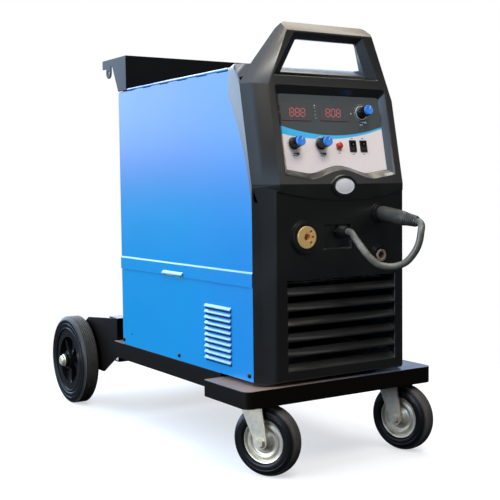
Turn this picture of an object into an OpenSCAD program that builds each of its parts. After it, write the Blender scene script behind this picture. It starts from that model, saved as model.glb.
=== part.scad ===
// MIG welding power source with a built-in wire feeder, standing on its own cart.
// Units are millimetres. The machine's front faces -Y, its door side is -X, and the floor is Z = 0.
// Lengths along Y are measured from the front edge of the cart's deck; stand() then moves
// everything so that the origin lies under the middle of the machine.

/* [Cart] */
// Width of the front deck
deck_w = 412; // [400:1:420]
// Depth of the front deck
deck_d = 141.5; // [138:0.5:150]
// Sheet thickness of the deck
deck_t = 3; // [2:0.5:4]
// Height of the deck's skirt, its sheet included
deck_skirt = 30; // [26:1:32]
// Side of the square rail tubes
rail_s = 35; // [32:1:36]
// Wall of the rail tubes
rail_wall = 2.5; // [1.5:0.5:3]
// Rear end of the rails
rail_rear = 594; // [590:1:606]
// Height of the rubber pads between deck and body
pad_h = 7.5; // [6.5:0.5:9]
// Sheet thickness of the bottle tray
tray_t = 3; // [2:0.5:4]
// Distance between the outer faces of the tray's side plates
tray_w = 326; // [320:1:328]
// Height of the tray's front edge above the floor
tray_top = 213; // [205:1:220]
// Height of the tray's floor above the ground
tray_floor = 120; // [118:1:126]
// Depth of the ledge behind the tray's front wall
tray_ledge = 45; // [40:1:60]

/* [Casters] */
// Total height of a caster, from the ground to the top of its plate
caster_h = 155; // [154:1:160]
// Radius of a caster wheel
caster_r = 62.5; // [60:0.5:63]
// Width of a caster tyre
caster_w = 37; // [34:1:38]
// Trail of the wheel behind the swivel axis
caster_trail = 33; // [30:1:36]
// Distance of a swivel axis from the deck's side edge
caster_inset = 51; // [50:1:54]
// Swivel axis behind the deck's front edge
caster_y = 66.5; // [64:0.5:72]
// Angle at which the left caster stands
caster_turn_l = 27; // [0:1:40]
// Angle at which the right caster stands
caster_turn_r = 15; // [0:1:40]
// Inside width of the fork
fork_gap = 45; // [43:1:47]
// Sheet thickness of the fork
fork_t = 3.5; // [2.5:0.5:4]
// Diameter of the caster axle
caster_axle_d = 10; // [8:1:12]

/* [Rear wheels] */
// Radius of a rear wheel
wheel_r = 100; // [98:1:104]
// Width of a rear tyre
wheel_w = 38; // [34:1:40]
// Distance between the outer faces of the rear tyres
track_w = 410; // [408:1:416]
// Diameter of the rear axle
axle_d = 20; // [16:1:22]
// Distance of the rear axle from the deck's front edge
axle_y = 779.5; // [770:0.5:800]
// Length of the whole axle over its caps
axle_len = 444; // [440:1:452]

/* [Case] */
// Width over the side panels
body_w = 341; // [336:1:346]
// Rear face of the case, from the deck's front edge
body_rear = 546; // [540:1:560]
// Height of the side panels
body_h = 532.5; // [528:0.5:540]
// Thickness of the case's sheet metal
sheet = 1.5; // [1.2:0.1:2]
// Height of the seam under the door, above the panels' lower edge
seam_h = 160.5; // [150:0.5:165]
// Height of the proud strip along the door's lower edge
strip_h = 25.5; // [18:0.5:30]
// How far that strip stands out from the door
strip_out = 2; // [1:0.5:3]
// Width of the finger pull on the strip
pull_w = 80; // [60:1:100]
// Height of the finger pull above the seam
pull_h = 9.5; // [8.5:0.5:12]
// Gap around the door
door_gap = 0.6; // [0.4:0.1:1]
// Number of louvres in the lower side panel
louvre_n = 10; // [6:1:11]
// Vertical pitch of the louvres
louvre_pitch = 10.5; // [9:0.5:12]
// Length of a louvre
louvre_len = 91; // [60:1:100]
// How far a louvre stands out
louvre_out = 4; // [2:0.5:5]

/* [Front moulding] */
// Width of the front moulding
bezel_w = 343; // [342:1:350]
// Width of its flat front face
face_w = 268; // [256:1:276]
// Wall thickness of the moulding
wall = 3; // [2.5:0.5:3.5]
// Height at which the face begins to lean back
lean_z = 500; // [498:1:504]
// Angle at which the upper face leans back
lean_a = 11.3; // [10.8:0.1:11.8]
// Depth of the step under the upper face
step_d = 4; // [3:0.5:5]
// Depth of the recess around the control plate
recess_d = 10; // [8:0.5:12]
// Width of the control plate
plate_w = 220; // [216:1:224]
// Height of the control plate, along its lean
plate_h = 139.7; // [138:0.1:142]
// Lower edge of the control plate above the bend, along its lean
plate_v = 20.4; // [19:0.1:22]
// Top of the handle
handle_z = 782; // [776:1:788]
// Width of the handle's top
handle_w = 179; // [170:1:186]
// Rear face of the handle
handle_back = 68; // [66:1:72]
// Number of air slots
slot_n = 6; // [4:1:6]
// Vertical pitch of the air slots
slot_pitch = 26.1; // [24:0.1:27]
// Length of an air slot
slot_len = 236; // [200:1:240]

/* [Controls and sockets] */
// Diameter of a control knob
knob_d = 18; // [16:0.5:20]
// Height of a control knob
knob_h = 24; // [20:1:26]
// Diameter of a potentiometer shaft
pot_d = 6; // [5:0.5:6.5]
// Diameter of the push button
button_d = 12; // [10:0.5:13]
// Travel of the push button
button_travel = 2; // [1:0.5:3]
// Width of a rocker switch
rocker_w = 15; // [13:0.5:17]
// Height of a rocker switch
rocker_h = 21; // [18:0.5:23]
// Width of a display window
window_w = 64; // [60:1:66]
// Height of a display window
window_h = 29; // [26:0.5:32]
// Diameter of the torch socket's brass body
torch_d = 38; // [34:1:40]
// Diameter of the torch socket's central bore
torch_bore = 12; // [8:0.5:14]
// Diameter of the brass insert in a current socket
dinse_d = 22; // [20:0.5:24]
// Bore of a current socket
dinse_bore = 13; // [9:0.5:14]
// Diameter of the polarity cable
cable_d = 12; // [11:0.5:12.5]
// Diameter of the cable's plug
plug_d = 27; // [24:0.5:30]
// Length of the plug
plug_len = 94; // [90:0.5:100]
// Droop of the plug
plug_droop = 7.8; // [7.8:0.1:7.8]

/* [Bottle bracket] */
// Front face of the bracket, from the deck's front edge
bracket_y = 509; // [500:1:515]
// Height of the bracket above the roof
bracket_h = 71.5; // [60:0.5:80]
// Sheet thickness of the bracket
bracket_t = 3; // [2:0.5:4]
// Rear end of the bracket's arms
arm_rear = 625; // [615:1:640]
// Height of an arm
arm_h = 19; // [15:0.5:22]
// Diameter of the chain hole
hook_d = 8; // [6:0.5:9]

/* [Inside] */
// Diameter of the spool hub
spool_hub_d = 50; // [48:0.5:51]
// Length of the spool hub
spool_hub_len = 103; // [100:1:106]
// Diameter of the spool's fixed shaft
spool_shaft_d = 16; // [14:1:20]
// Radius of a feed roll
roll_r = 18.5; // [15:0.5:20]
// Width of a feed roll
roll_w = 12; // [10:0.5:14]
// Diameter of the feed roll's shaft
roll_shaft_d = 10; // [8:0.5:12]
// Side of the square fan frame
fan_s = 140; // [120:1:146]
// Depth of the fan frame
fan_d = 38; // [25:1:40]
// Number of fan blades
blade_n = 7; // [5:1:9]

/* [Hidden] */
$fn = 64;

// Fits between pieces
run_gap = 0.05;     // radial clearance of a shaft that turns in its bore
seat_gap = 0.25;    // clearance of a piece that is set into another
move_gap = 0.5;     // clearance between pieces that move past each other
cut = 1;            // how far a cutter reaches past what it cuts

// Levels
deck_top = caster_h + deck_t;
body_z0 = deck_top + pad_h;
body_z1 = body_z0 + body_h;
seam_z = body_z0 + seam_h;
half = body_w / 2;
panel_in = half - sheet;            // inner face of the side panels
inner = panel_in - move_gap;        // what stands inside the side panels
floor_z = body_z0 + sheet;          // top of the base pan
shelf_z = seam_z - 4;               // top of the shelf under the wire compartment
roof_in = body_z1 - sheet;

// Where the machine's middle lies
tyre_round = 16;
function tyre_front(a) = caster_y - caster_trail * cos(a)
    - (caster_r - tyre_round) * cos(a) - (caster_w / 2 - tyre_round) * sin(a) - tyre_round;
cart_front = min(tyre_front(caster_turn_l), tyre_front(caster_turn_r));
cart_rear = axle_y + wheel_r;
middle_y = (cart_front + cart_rear) / 2;

// Colours
black_paint = "#1b1c1e";
black_plastic = "#17181a";
azure = "#2f8fe6";
zinc = "#b9bcbd";
brass = "#c79a4a";
rubber = "#232325";

module stand() {
    translate([0, -middle_y, 0]) children();
}

// Turns a cylinder's axis onto +X or +Y
module along_x() {
    rotate([0, 90, 0]) children();
}
module along_y() {
    rotate([-90, 0, 0]) children();
}
// Extrudes a (Y, Z) outline along X, between x0 and x1
module slice_x(x0, x1) {
    translate([x0, 0, 0]) rotate([90, 0, 90]) linear_extrude(x1 - x0) children();
}
// Extrudes an (X, Z) outline along Y, between y0 and y1
module slice_y(y0, y1) {
    translate([0, y1, 0]) rotate([90, 0, 0]) linear_extrude(y1 - y0) children();
}
// A box from its lowest to its highest corner
module block(a, b) {
    translate(a) cube(b - a);
}
module both_sides() {
    children();
    mirror([1, 0, 0]) children();
}

// Outline helpers
function unit(v) = v / norm(v);
// Points of a corner at b, between a and c, rounded to radius r
function corner(a, b, c, r, n = 6) = r <= 0 ? [b] :
    let (u = unit(a - b), w = unit(c - b), half_a = acos(u * w) / 2,
        m = b + unit(u + w) * r / sin(half_a),
        p = b + u * r / tan(half_a) - m, q = b + w * r / tan(half_a) - m)
    [for (i = [0:n]) let (t = i / n, s = sin(180 - 2 * half_a))
        m + p * sin((1 - t) * (180 - 2 * half_a)) / s + q * sin(t * (180 - 2 * half_a)) / s];
// An outline with each corner rounded: a list of [x, y, radius]
function rounded(pts) = let (n = len(pts))
    [for (i = [0:n - 1])
        let (a = pts[(i + n - 1) % n], b = pts[i], c = pts[(i + 1) % n])
        each corner([a[0], a[1]], [b[0], b[1]], [c[0], c[1]], b[2])];
function ellipse(a, b, n = 48) = [for (i = [0:n - 1]) [a * cos(360 * i / n), b * sin(360 * i / n)]];
function rect(x0, y0, x1, y1, r = 0) = [[x0, y0, r], [x1, y0, r], [x1, y1, r], [x0, y1, r]];

// ---------------------------------------------------------------- cart

module deck() {
    deck_z0 = deck_top - deck_skirt;
    front_r = 15;
    rear_r = 5;
    color(black_paint) stand() difference() {
        translate([0, 0, deck_z0]) linear_extrude(deck_skirt) polygon(rounded([
            [-deck_w / 2, 0, front_r], [deck_w / 2, 0, front_r],
            [deck_w / 2, deck_d, rear_r], [-deck_w / 2, deck_d, rear_r]]));
        translate([0, 0, deck_z0 - cut]) linear_extrude(deck_skirt - deck_t + cut) polygon(rounded([
            [-deck_w / 2 + deck_t, deck_t, front_r - deck_t],
            [deck_w / 2 - deck_t, deck_t, front_r - deck_t],
            [deck_w / 2 - deck_t, deck_d - deck_t, rear_r - deck_t],
            [-deck_w / 2 + deck_t, deck_d - deck_t, rear_r - deck_t]]));
    }
}

module side_rails() {
    color(black_paint) stand() both_sides() difference() {
        block([half - rail_s, deck_d, body_z0 - rail_s], [half, rail_rear, body_z0]);
        block([half - rail_s + rail_wall, deck_d - cut, body_z0 - rail_s + rail_wall],
            [half - rail_wall, rail_rear + cut, body_z0 - rail_wall]);
    }
}

tray_rear = axle_y + 32;
tray_low = wheel_r - 15;
module tray_side() {
    slice_x(tray_w / 2 - tray_t, tray_w / 2) polygon(rounded([
        [rail_rear, body_z0 - rail_s, 0], [rail_rear + 76, tray_low, 8],
        [tray_rear - 4, tray_low, 10], [tray_rear + 6, tray_low + 30, 10],
        [tray_rear, tray_top - 50, 20], [axle_y - 30, tray_top - 13, 12], [rail_rear, tray_top, 3]]));
}

module bottle_tray() {
    inside = tray_w / 2 - tray_t;
    color(black_paint) stand() difference() {
        union() {
            both_sides() tray_side();
            block([-inside, rail_rear, body_z0 - rail_s], [inside, rail_rear + tray_t, tray_top]);
            block([-inside, rail_rear, tray_top - tray_t], [inside, rail_rear + tray_ledge, tray_top]);
            block([-inside, rail_rear, tray_floor - tray_t], [inside, tray_rear, tray_floor]);
            block([-inside, rail_rear, tray_floor - tray_t], [inside, rail_rear + tray_t,
                body_z0 - rail_s + cut]);
            block([-inside, tray_rear - tray_t, tray_floor - 18], [inside, tray_rear, tray_floor]);
        }
        translate([-tray_w / 2 - cut, axle_y, wheel_r]) along_x() cylinder(d = axle_d, h = tray_w + 2 * cut);
    }
}

// The axle carries a collar inside each wheel and a pressed cap outside it
wheel_in = track_w / 2 - wheel_w;
hub_out = axle_len / 2 - 10;
module rear_axle() {
    collar_r = axle_d / 2 + 5;
    color(zinc) stand() translate([0, axle_y, wheel_r]) {
        translate([-hub_out - move_gap - 3, 0, 0]) along_x() cylinder(d = axle_d, h = 2 * (hub_out + move_gap + 3));
        both_sides() {
            translate([tray_w / 2, 0, 0]) along_x() cylinder(r = collar_r, h = wheel_in - tray_w / 2 - move_gap);
            translate([hub_out + move_gap, 0, 0]) along_x() {
                cylinder(r = axle_d / 2 + 3.5, h = 3);
                translate([0, 0, 3]) cylinder(r = axle_d / 2 + 1.5, h = axle_len / 2 - hub_out - move_gap - 5);
                cylinder(r = axle_d / 2 - 1, h = axle_len / 2 - hub_out - move_gap);
            }
        }
    }
}

module rear_wheel(side) {
    rim_r = 0.70 * wheel_r;
    ring_r = 0.53 * wheel_r;
    hub_r = 22;
    mid = wheel_in + wheel_w / 2;
    spoke_n = 5;
    color(black_plastic) stand() translate([0, axle_y, wheel_r]) mirror([side < 0 ? 1 : 0, 0, 0]) difference() {
        union() {
            translate([wheel_in + 3, 0, 0]) along_x() difference() {
                cylinder(r = rim_r - seat_gap, h = wheel_w - 6);
                translate([0, 0, -cut]) cylinder(r = ring_r, h = wheel_w);
            }
            translate([mid - 2.5, 0, 0]) along_x() difference() {
                cylinder(r = ring_r + cut, h = 5);
                for (i = [0:spoke_n - 1]) rotate(360 / spoke_n * i) translate([0, 0, -cut])
                    linear_extrude(7) polygon(rounded([[hub_r + 3, -9, 3], [ring_r - 2, -24, 6],
                        [ring_r + 1, 0, 12], [ring_r - 2, 24, 6], [hub_r + 3, 9, 3]]));
            }
            for (i = [0:spoke_n - 1]) rotate([360 / spoke_n * (i + 0.5), 0, 0])
                block([mid - 11, -3, hub_r - 3], [mid + 11, 3, ring_r + cut]);
            translate([wheel_in, 0, 0]) along_x() cylinder(r = hub_r - 2, h = wheel_w);
            translate([wheel_in + wheel_w - cut, 0, 0]) along_x() cylinder(r = hub_r - 6, h = hub_out - wheel_in - wheel_w + cut);
        }
        translate([0, 0, 0]) along_x() cylinder(r = axle_d / 2 + run_gap, h = track_w);
    }
}
module rear_wheel_left() {
    rear_wheel(-1);
}
module rear_wheel_right() {
    rear_wheel(1);
}

// Half section of a tyre: a rounded band between radii r0 and r1, with grooves in its tread
module tyre_section(r0, r1, w, r_edge) {
    difference() {
        union() {
            translate([r0, -w / 2]) square([r1 - r_edge - r0, w]);
            translate([r0, -w / 2 + r_edge]) square([r1 - r0, w - 2 * r_edge]);
            for (s = [-1, 1]) translate([r1 - r_edge, s * (w / 2 - r_edge)]) circle(r_edge);
        }
        translate([0, -w]) square([r0, 2 * w]);
        children();
    }
}
module rear_tyre(side) {
    color(rubber) stand() translate([side * (wheel_in + wheel_w / 2), axle_y, wheel_r]) along_x()
        rotate_extrude() tyre_section(0.70 * wheel_r, wheel_r, wheel_w, 10) {
            for (s = [-1, 0, 1]) translate([wheel_r - 1.5, s * 8 - 1]) square([3, 2]);
            for (s = [-1, 1]) translate([0.86 * wheel_r, s * (wheel_w / 2 + 0.5)]) circle(2);
        }
}
module rear_tyre_left() {
    rear_tyre(-1);
}
module rear_tyre_right() {
    rear_tyre(1);
}

module mounting_pads() {
    color(rubber) stand() both_sides() block([70, 60, deck_top], [120, 110, body_z0]);
}

// ---------------------------------------------------------------- casters

caster_gap = deck_w - 2 * caster_inset;
race_r = 34;
plate_t = 3;
race_z = caster_h - plate_t - 3;    // top of the fork's race
kingpin_d = 12;

module at_caster(side) {
    turn = side < 0 ? caster_turn_l : caster_turn_r;
    translate([side * caster_gap / 2, caster_y, 0]) rotate(turn) children();
}

module caster_plates() {
    hole_x = 60;
    hole_y = 80;
    color(zinc) stand() for (s = [-1, 1]) translate([s * caster_gap / 2, caster_y, 0]) {
        difference() {
            translate([0, 0, caster_h - plate_t]) linear_extrude(plate_t)
                polygon(rounded(rect(-42.5, -52.5, 42.5, 52.5, 6)));
            for (x = [-1, 1]) for (y = [-1, 1]) translate([x * hole_x / 2, y * hole_y / 2, 0])
                cylinder(r = 4.25, h = 2 * caster_h);
        }
        translate([0, 0, race_z + move_gap]) cylinder(r = race_r - 6, h = caster_h - plate_t - race_z - move_gap);
        translate([0, 0, race_z - 16]) cylinder(d = kingpin_d, h = 18);
        translate([0, 0, race_z - 16]) cylinder(d = kingpin_d + 8, h = 8 - move_gap);
    }
}

// Fork: a race with two tapered legs; the wheel trails towards -Y before it is turned
module caster_fork(side) {
    hw = fork_gap / 2;
    race_h = 12;
    color(zinc) stand() at_caster(side) difference() {
        union() {
            translate([0, 0, race_z - race_h]) rotate_extrude() polygon(
                [[0, race_h - 5], [race_r - 6, race_h - 5], [race_r - 6, race_h], [race_r - 2, race_h],
                [race_r, race_h - 3], [race_r - 4, 0], [race_r - 8, 0], [race_r - 10, race_h - 8], [0, race_h - 8]]);
            block([-hw - fork_t, -34, race_z - race_h], [hw + fork_t, 14, race_z - race_h + 4]);
            for (s = [-1, 1]) translate([s * (hw + fork_t / 2), 0, 0]) slice_x(-fork_t / 2, fork_t / 2)
                polygon(rounded([[-caster_trail - 12, caster_r - 11, 10], [-caster_trail + 12, caster_r - 11, 10],
                    [-caster_trail + 14, caster_r + 6, 8], [14, race_z - race_h + 4, 0],
                    [-34, race_z - race_h + 4, 0], [-caster_trail - 12, caster_r + 8, 8]]));
            for (s = [-1, 1]) translate([s > 0 ? hw + fork_t - 0.1 : -hw - fork_t - 5.9, -caster_trail, caster_r])
                along_x() cylinder(r = 8, h = 6, $fn = 6);
            translate([-hw - fork_t, -caster_trail, caster_r]) along_x()
                cylinder(d = caster_axle_d, h = fork_gap + 2 * fork_t);
        }
        translate([0, 0, race_z - race_h - cut]) cylinder(d = kingpin_d + 2 * run_gap, h = race_h + 2 * cut);
        translate([0, 0, race_z - race_h - 6]) cylinder(d = kingpin_d + 9, h = 6 + race_h - 8);
    }
}
module caster_fork_left() {
    caster_fork(-1);
}
module caster_fork_right() {
    caster_fork(1);
}

module at_caster_wheel(side) {
    stand() at_caster(side) translate([0, -caster_trail, caster_r]) along_x() children();
}
caster_rim_r = 0.62 * caster_r;
// Two pressed steel discs on a hub tube, with a ring ridge; their rolled rims nearly meet under the tyre
module caster_rim(side) {
    hw = caster_w / 2;
    bore = caster_axle_d / 2 + run_gap;
    end = fork_gap / 2 - move_gap;
    half_rim = [[bore, end], [bore + 5, end], [bore + 5, hw - 2.5], [14, hw - 2], [20, hw - 8], [24, hw - 8],
        [27, hw - 5.5], [30, hw - 8], [34, hw - 8], [35.5, hw - 4.5], [caster_rim_r - seat_gap, hw - 4.5],
        [caster_rim_r - seat_gap, 1], [caster_rim_r - 3, 1], [caster_rim_r - 5, hw - 11], [16, hw - 11],
        [bore + 5, hw - 9]];
    n = len(half_rim);
    color(zinc) at_caster_wheel(side) rotate_extrude()
        polygon(concat(half_rim, [for (i = [1:n]) [half_rim[n - i][0], -half_rim[n - i][1]]]));
}
module caster_rim_left() {
    caster_rim(-1);
}
module caster_rim_right() {
    caster_rim(1);
}
module caster_tyre(side) {
    color(rubber) at_caster_wheel(side) rotate_extrude()
        tyre_section(caster_rim_r, caster_r, caster_w, tyre_round) {
            for (s = [-1, 1]) translate([0.80 * caster_r, s * (caster_w / 2 + 0.6)]) circle(2);
        }
}
module caster_tyre_left() {
    caster_tyre(-1);
}
module caster_tyre_right() {
    caster_tyre(1);
}

// ---------------------------------------------------------------- case

// The moulding's rear edge, where the side panels begin: it sweeps back in a curve
edge_front = 30;
edge_right = 62;                    // the cover's side begins further back
edge_back = 101;
edge_z0 = body_z1 - 259;
edge_z1 = body_z1 - 45;
edge_power = 1.85;
function edge_y(z) = z <= edge_z0 ? edge_front : z >= edge_z1 ? edge_back :
    edge_front + (edge_back - edge_front) * pow((z - edge_z0) / (edge_z1 - edge_z0), edge_power);
function edge_curve(z0, z1, gap) = [for (i = [0:20]) let (z = z0 + (z1 - z0) * i / 20) [edge_y(z) + gap, z]];

// Side panel outline between two heights, with its curved front edge
module panel_outline(z0, z1) {
    low = max(z0, min(z1, edge_z0));
    high = min(z1, edge_z1);
    polygon(concat([[body_rear, z1], [body_rear, z0], [edge_y(z0) + door_gap, z0]],
        z1 > edge_z0 ? edge_curve(low, high, door_gap) : [], [[edge_y(z1) + door_gap, z1]]));
}

module base_pan() {
    lip = 22;
    front = step_d + wall + 1;
    color(zinc) stand() difference() {
        block([-panel_in, front, body_z0], [panel_in, body_rear - sheet, body_z0 + lip]);
        block([-panel_in + sheet, front - cut, floor_z], [panel_in - sheet, body_rear, body_z0 + lip + cut]);
        both_sides() block([fw - 2, front - cut, body_z0 - cut], [panel_in + cut, edge_front + door_gap,
            body_z0 + lip + cut]);
        block([fw - 2, front - cut, body_z0 - cut], [panel_in + cut, edge_right + door_gap, body_z0 + lip + cut]);
    }
}

hinge_x = half - 2.2;
hinge_z = body_z1 + 0.5;
hinge_r = 3;
hinge_pin_r = 1.25;
hinge_y0 = edge_back + 3;
hinge_y1 = bracket_y - 5;
knuckle_n = 11;
knuckle_l = (hinge_y1 - hinge_y0) / knuckle_n;
// Every second knuckle of the long hinge, starting with number first
module knuckles(first) {
    for (i = [first:2:knuckle_n - 1]) translate([-hinge_x, hinge_y0 + i * knuckle_l + move_gap / 2, hinge_z]) along_y()
        cylinder(r = hinge_r, h = knuckle_l - move_gap);
}
module hinge_bore() {
    translate([-hinge_x, hinge_y0 - cut, hinge_z]) along_y()
        cylinder(r = hinge_pin_r + run_gap, h = hinge_y1 - hinge_y0 + 2 * cut);
}

module cover_panel() {
    color(azure) stand() difference() {
        union() {
            slice_x(panel_in, half) panel_outline(body_z0, body_z1);
            block([-hinge_x + hinge_r + move_gap, edge_back + door_gap, roof_in], [half, body_rear, body_z1]);
            knuckles(0);
            for (i = [0:2:knuckle_n - 1])
                block([-hinge_x + hinge_pin_r + 0.5, hinge_y0 + i * knuckle_l + move_gap / 2, roof_in],
                    [-hinge_x + hinge_r + 3, hinge_y0 + (i + 1) * knuckle_l - move_gap / 2, body_z1]);
        }
        hinge_bore();
        block([0, 0, body_z0 - cut], [half + cut, edge_right + door_gap, body_z1 + cut]);
    }
}

module hinge_pin() {
    color(zinc) stand() translate([-hinge_x, hinge_y0 - 0.8, hinge_z]) along_y() {
        cylinder(r = hinge_pin_r, h = hinge_y1 - hinge_y0 + 1);
        translate([0, 0, -1]) cylinder(r = hinge_r - 0.5, h = 1);
    }
}

// Door of the wire compartment: flat above, with a proud strip along its lower edge that carries the finger pull,
// a pressed hood which opens downwards
module spool_door() {
    z0 = seam_z + door_gap;
    z1 = hinge_z - hinge_r - move_gap;
    z_bend = seam_z + strip_h;
    face = -half - strip_out;
    pull_y = 312.5;
    y0 = pull_y - pull_w / 2;
    y1 = pull_y + pull_w / 2;
    pull_z = seam_z + pull_h + 1.2;
    color(azure) stand() {
        difference() {
            union() {
                intersection() {
                    slice_x(face - cut, 0) panel_outline(z0, z1);
                    slice_y(0, body_rear) polygon([[-half, z1], [-half, z_bend + 1.5], [face, z_bend - 1.5], [face, z0],
                        [face + sheet, z0], [face + sheet, z_bend - 2.4], [-half + sheet, z_bend + 0.6],
                        [-half + sheet, z1]]);
                }
                knuckles(1);
                for (i = [1:2:knuckle_n - 1])
                    block([-half, hinge_y0 + i * knuckle_l + move_gap / 2, z1 - 2],
                        [-half + sheet, hinge_y0 + (i + 1) * knuckle_l - move_gap / 2, hinge_z]);
            }
            hinge_bore();
            block([face - cut, y0 + 1, z0 - cut], [-half + 5, y1 - 1, pull_z - 1.8]);
        }
        slice_y(y0, y1) polygon([[face + 0.5, pull_z], [face - 3.6, pull_z - 4.4], [face - 4.2, pull_z - 5.6],
            [face - 4.2, pull_z - 6.6], [face - 3, pull_z - 6.6], [face + 0.5, pull_z - 1.8]]);
        for (y = [y0, y1 - 1.2]) slice_y(y, y + 1.2)
            polygon([[face + 0.5, pull_z], [face - 3.6, pull_z - 4.4], [face - 4, pull_z - 6.6], [face + 0.5, pull_z - 7.2]]);
    }
}

// Lower side panel with pressed louvres: hoods that open downwards
module lower_side_panel() {
    louvre_y = 101.5;
    louvre_z = body_z0 + 121;
    hood_t = 1.2;
    drop = 5;
    color(azure) stand() {
        difference() {
            slice_x(-half, -panel_in) panel_outline(body_z0, seam_z);
            for (i = [0:louvre_n - 1])
                block([-half - cut, louvre_y + 1, louvre_z - i * louvre_pitch - drop - 1.5],
                    [-panel_in + cut, louvre_y + louvre_len - 1, louvre_z - i * louvre_pitch - 1.6]);
            translate([-half - cut, 504, body_z0 + 25]) along_x() cylinder(r = 2, h = 5);
        }
        for (i = [0:louvre_n - 1]) translate([0, 0, louvre_z - i * louvre_pitch]) {
            slice_y(louvre_y, louvre_y + louvre_len) polygon([[-half + 0.5, 0], [-half - louvre_out + 0.8, -drop + 1],
                [-half - louvre_out, -drop], [-half - louvre_out, -drop - hood_t], [-half - louvre_out + 0.8, -drop - hood_t],
                [-half + 0.5, -hood_t - 0.6]]);
            for (y = [louvre_y, louvre_y + louvre_len - hood_t]) slice_y(y, y + hood_t)
                polygon([[-half + 0.5, 0], [-half - louvre_out + 0.8, -drop + 1], [-half - louvre_out + 0.3, -drop - hood_t],
                    [-half + 0.5, -drop - 2]]);
        }
    }
}

fan_z = floor_z + fan_s / 2 + 2;
mains_x = 105;
mains_switch_z = body_z0 + 470;
mains_gland_z = body_z0 + 395;
gas_x = -110;
gas_z = body_z0 + 430;
module rear_panel() {
    color(black_paint) stand() difference() {
        block([-inner, body_rear - sheet, floor_z], [inner, body_rear, roof_in]);
        translate([0, body_rear - sheet - cut, fan_z]) along_y() cylinder(r = fan_s / 2 - 6, h = 5);
        translate([mains_x, body_rear - sheet - cut, mains_switch_z]) along_y() cylinder(r = 12, h = 5);
        translate([mains_x, body_rear - sheet - cut, mains_gland_z]) along_y() cylinder(r = 12, h = 5);
        translate([gas_x, body_rear - sheet - cut, gas_z]) along_y() cylinder(r = 7, h = 5);
        block([-inner - cut, body_rear - sheet - cut, seam_z - 1], [-inner + 1.6, body_rear + cut, seam_z + 20]);
        for (s = [-1, 1]) for (i = [0:6]) translate([s * 60, body_rear, body_z0 + 200 + i * 12])
            block([-28, -sheet - cut, 0], [28, cut, 5]);
    }
}

// Shelf and upright wall between the wire compartment and the electronics
wall_x = -8;
roll_y = 172;
wire_x = -82;
wire_z = 410;
roll_z = wire_z - roll_r - 0.6;
spool_y = 385;
spool_z = 500;
module partition() {
    color(zinc) stand() difference() {
        union() {
            block([-inner, edge_back + 2, shelf_z - sheet], [inner, body_rear - sheet, shelf_z]);
            block([wall_x, edge_back + 2, shelf_z - sheet], [wall_x + sheet, body_rear - sheet, roof_in]);
            block([-inner, edge_back + 2, shelf_z - 14], [-inner + sheet, body_rear - sheet, shelf_z]);
        }
        translate([wall_x - cut, roll_y, roll_z]) along_x() cylinder(r = roll_shaft_d / 2 + 3, h = 5);
        translate([wall_x - cut, 240, 620]) along_x() cylinder(r = 18, h = 5);
    }
}

// ---------------------------------------------------------------- front moulding

bezel_z0 = deck_top + 3;
bw = bezel_w / 2;
fw = face_w / 2;
face_in = step_d + wall + 1;        // inner face of the lower front wall
plate_top = plate_v + plate_h;
upper_in = recess_d + 4;            // inner face of the upper front wall, behind the leaning face
shoulder_z = body_z1 + 4;
ledge_z = 686;
crown_z = body_z1 + 8;
handle_x = 8.5;                     // the handle's top stands a little to the cover's side

module lean() {
    translate([0, 0, lean_z]) rotate([-lean_a, 0, 0]) children();
}
// A place on the leaning face: x across, v up the face, depth behind it; +Z points out of the face
module on_face(x, v, depth = 0) {
    lean() translate([x, depth, v]) rotate([90, 0, 0]) children();
}
module on_plate(at) {
    on_face(at[0], at[1], recess_d) children();
}
// A place on the upright lower face
module on_front(x, z, y = step_d) {
    translate([x, y, z]) rotate([90, 0, 0]) children();
}

// Plan of the moulding: a flat face, a chamfer and a short flank on the door's side, and a chamfer
// and a longer flank on the cover's side
chamfer_l = [24, 20];
chamfer_r = [18, 30];
module bezel_plan(inset, depth) {
    x1 = fw - inset * 0.3;
    x3 = bw - inset;
    polygon([[-x1, depth], [x1, depth], [fw + chamfer_r[0] - inset, chamfer_r[1] + depth * 0.25],
        [fw + 27 - inset, 48], [x3, edge_right], [x3, 140], [-x3, 140], [-x3, edge_front],
        [-fw - chamfer_l[0] + inset, chamfer_l[1] + depth * 0.6]]);
}

// The moulding's rear edge, upwards from a lower front end
function rear_edge(front) = concat(
    [for (i = [19:-1:0]) let (z = edge_z0 + (edge_z1 - edge_z0) * i / 20) [max(edge_y(z), front), z]],
    [[front, bezel_z0]]);
module side_outline(front) {
    bottom_r = 18;
    polygon(concat(
        [for (i = [0:8]) [bottom_r * (1 - sin(90 * i / 8)), bezel_z0 + bottom_r * (1 - cos(90 * i / 8))]],
        [[-20, bezel_z0 + bottom_r], [-20, 820], [handle_back, 820], [handle_back, crown_z],
        [edge_back - 14, crown_z], [edge_back, body_z1 + 1], [edge_back, edge_z1]], rear_edge(front)));
}

// Lower edge of the control plate: two lows with a crest between them
function wave(x) = abs(x) < 65 ? 13.8 * (1 + cos(180 * x / 65)) / 2 : 7 * (abs(x) - 65) / 45;
function plate_outline(gap) = concat(
    rounded([[-plate_w / 2 + gap, plate_v + 50, 0], [-plate_w / 2 + gap, plate_top - gap, 5],
        [plate_w / 2 - gap, plate_top - gap, 5], [plate_w / 2 - gap, plate_v + 50, 0]]),
    [for (i = [0:32]) let (x = (plate_w / 2 - gap) * (1 - i / 16)) [x, plate_v + gap + wave(x)]]);

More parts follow.
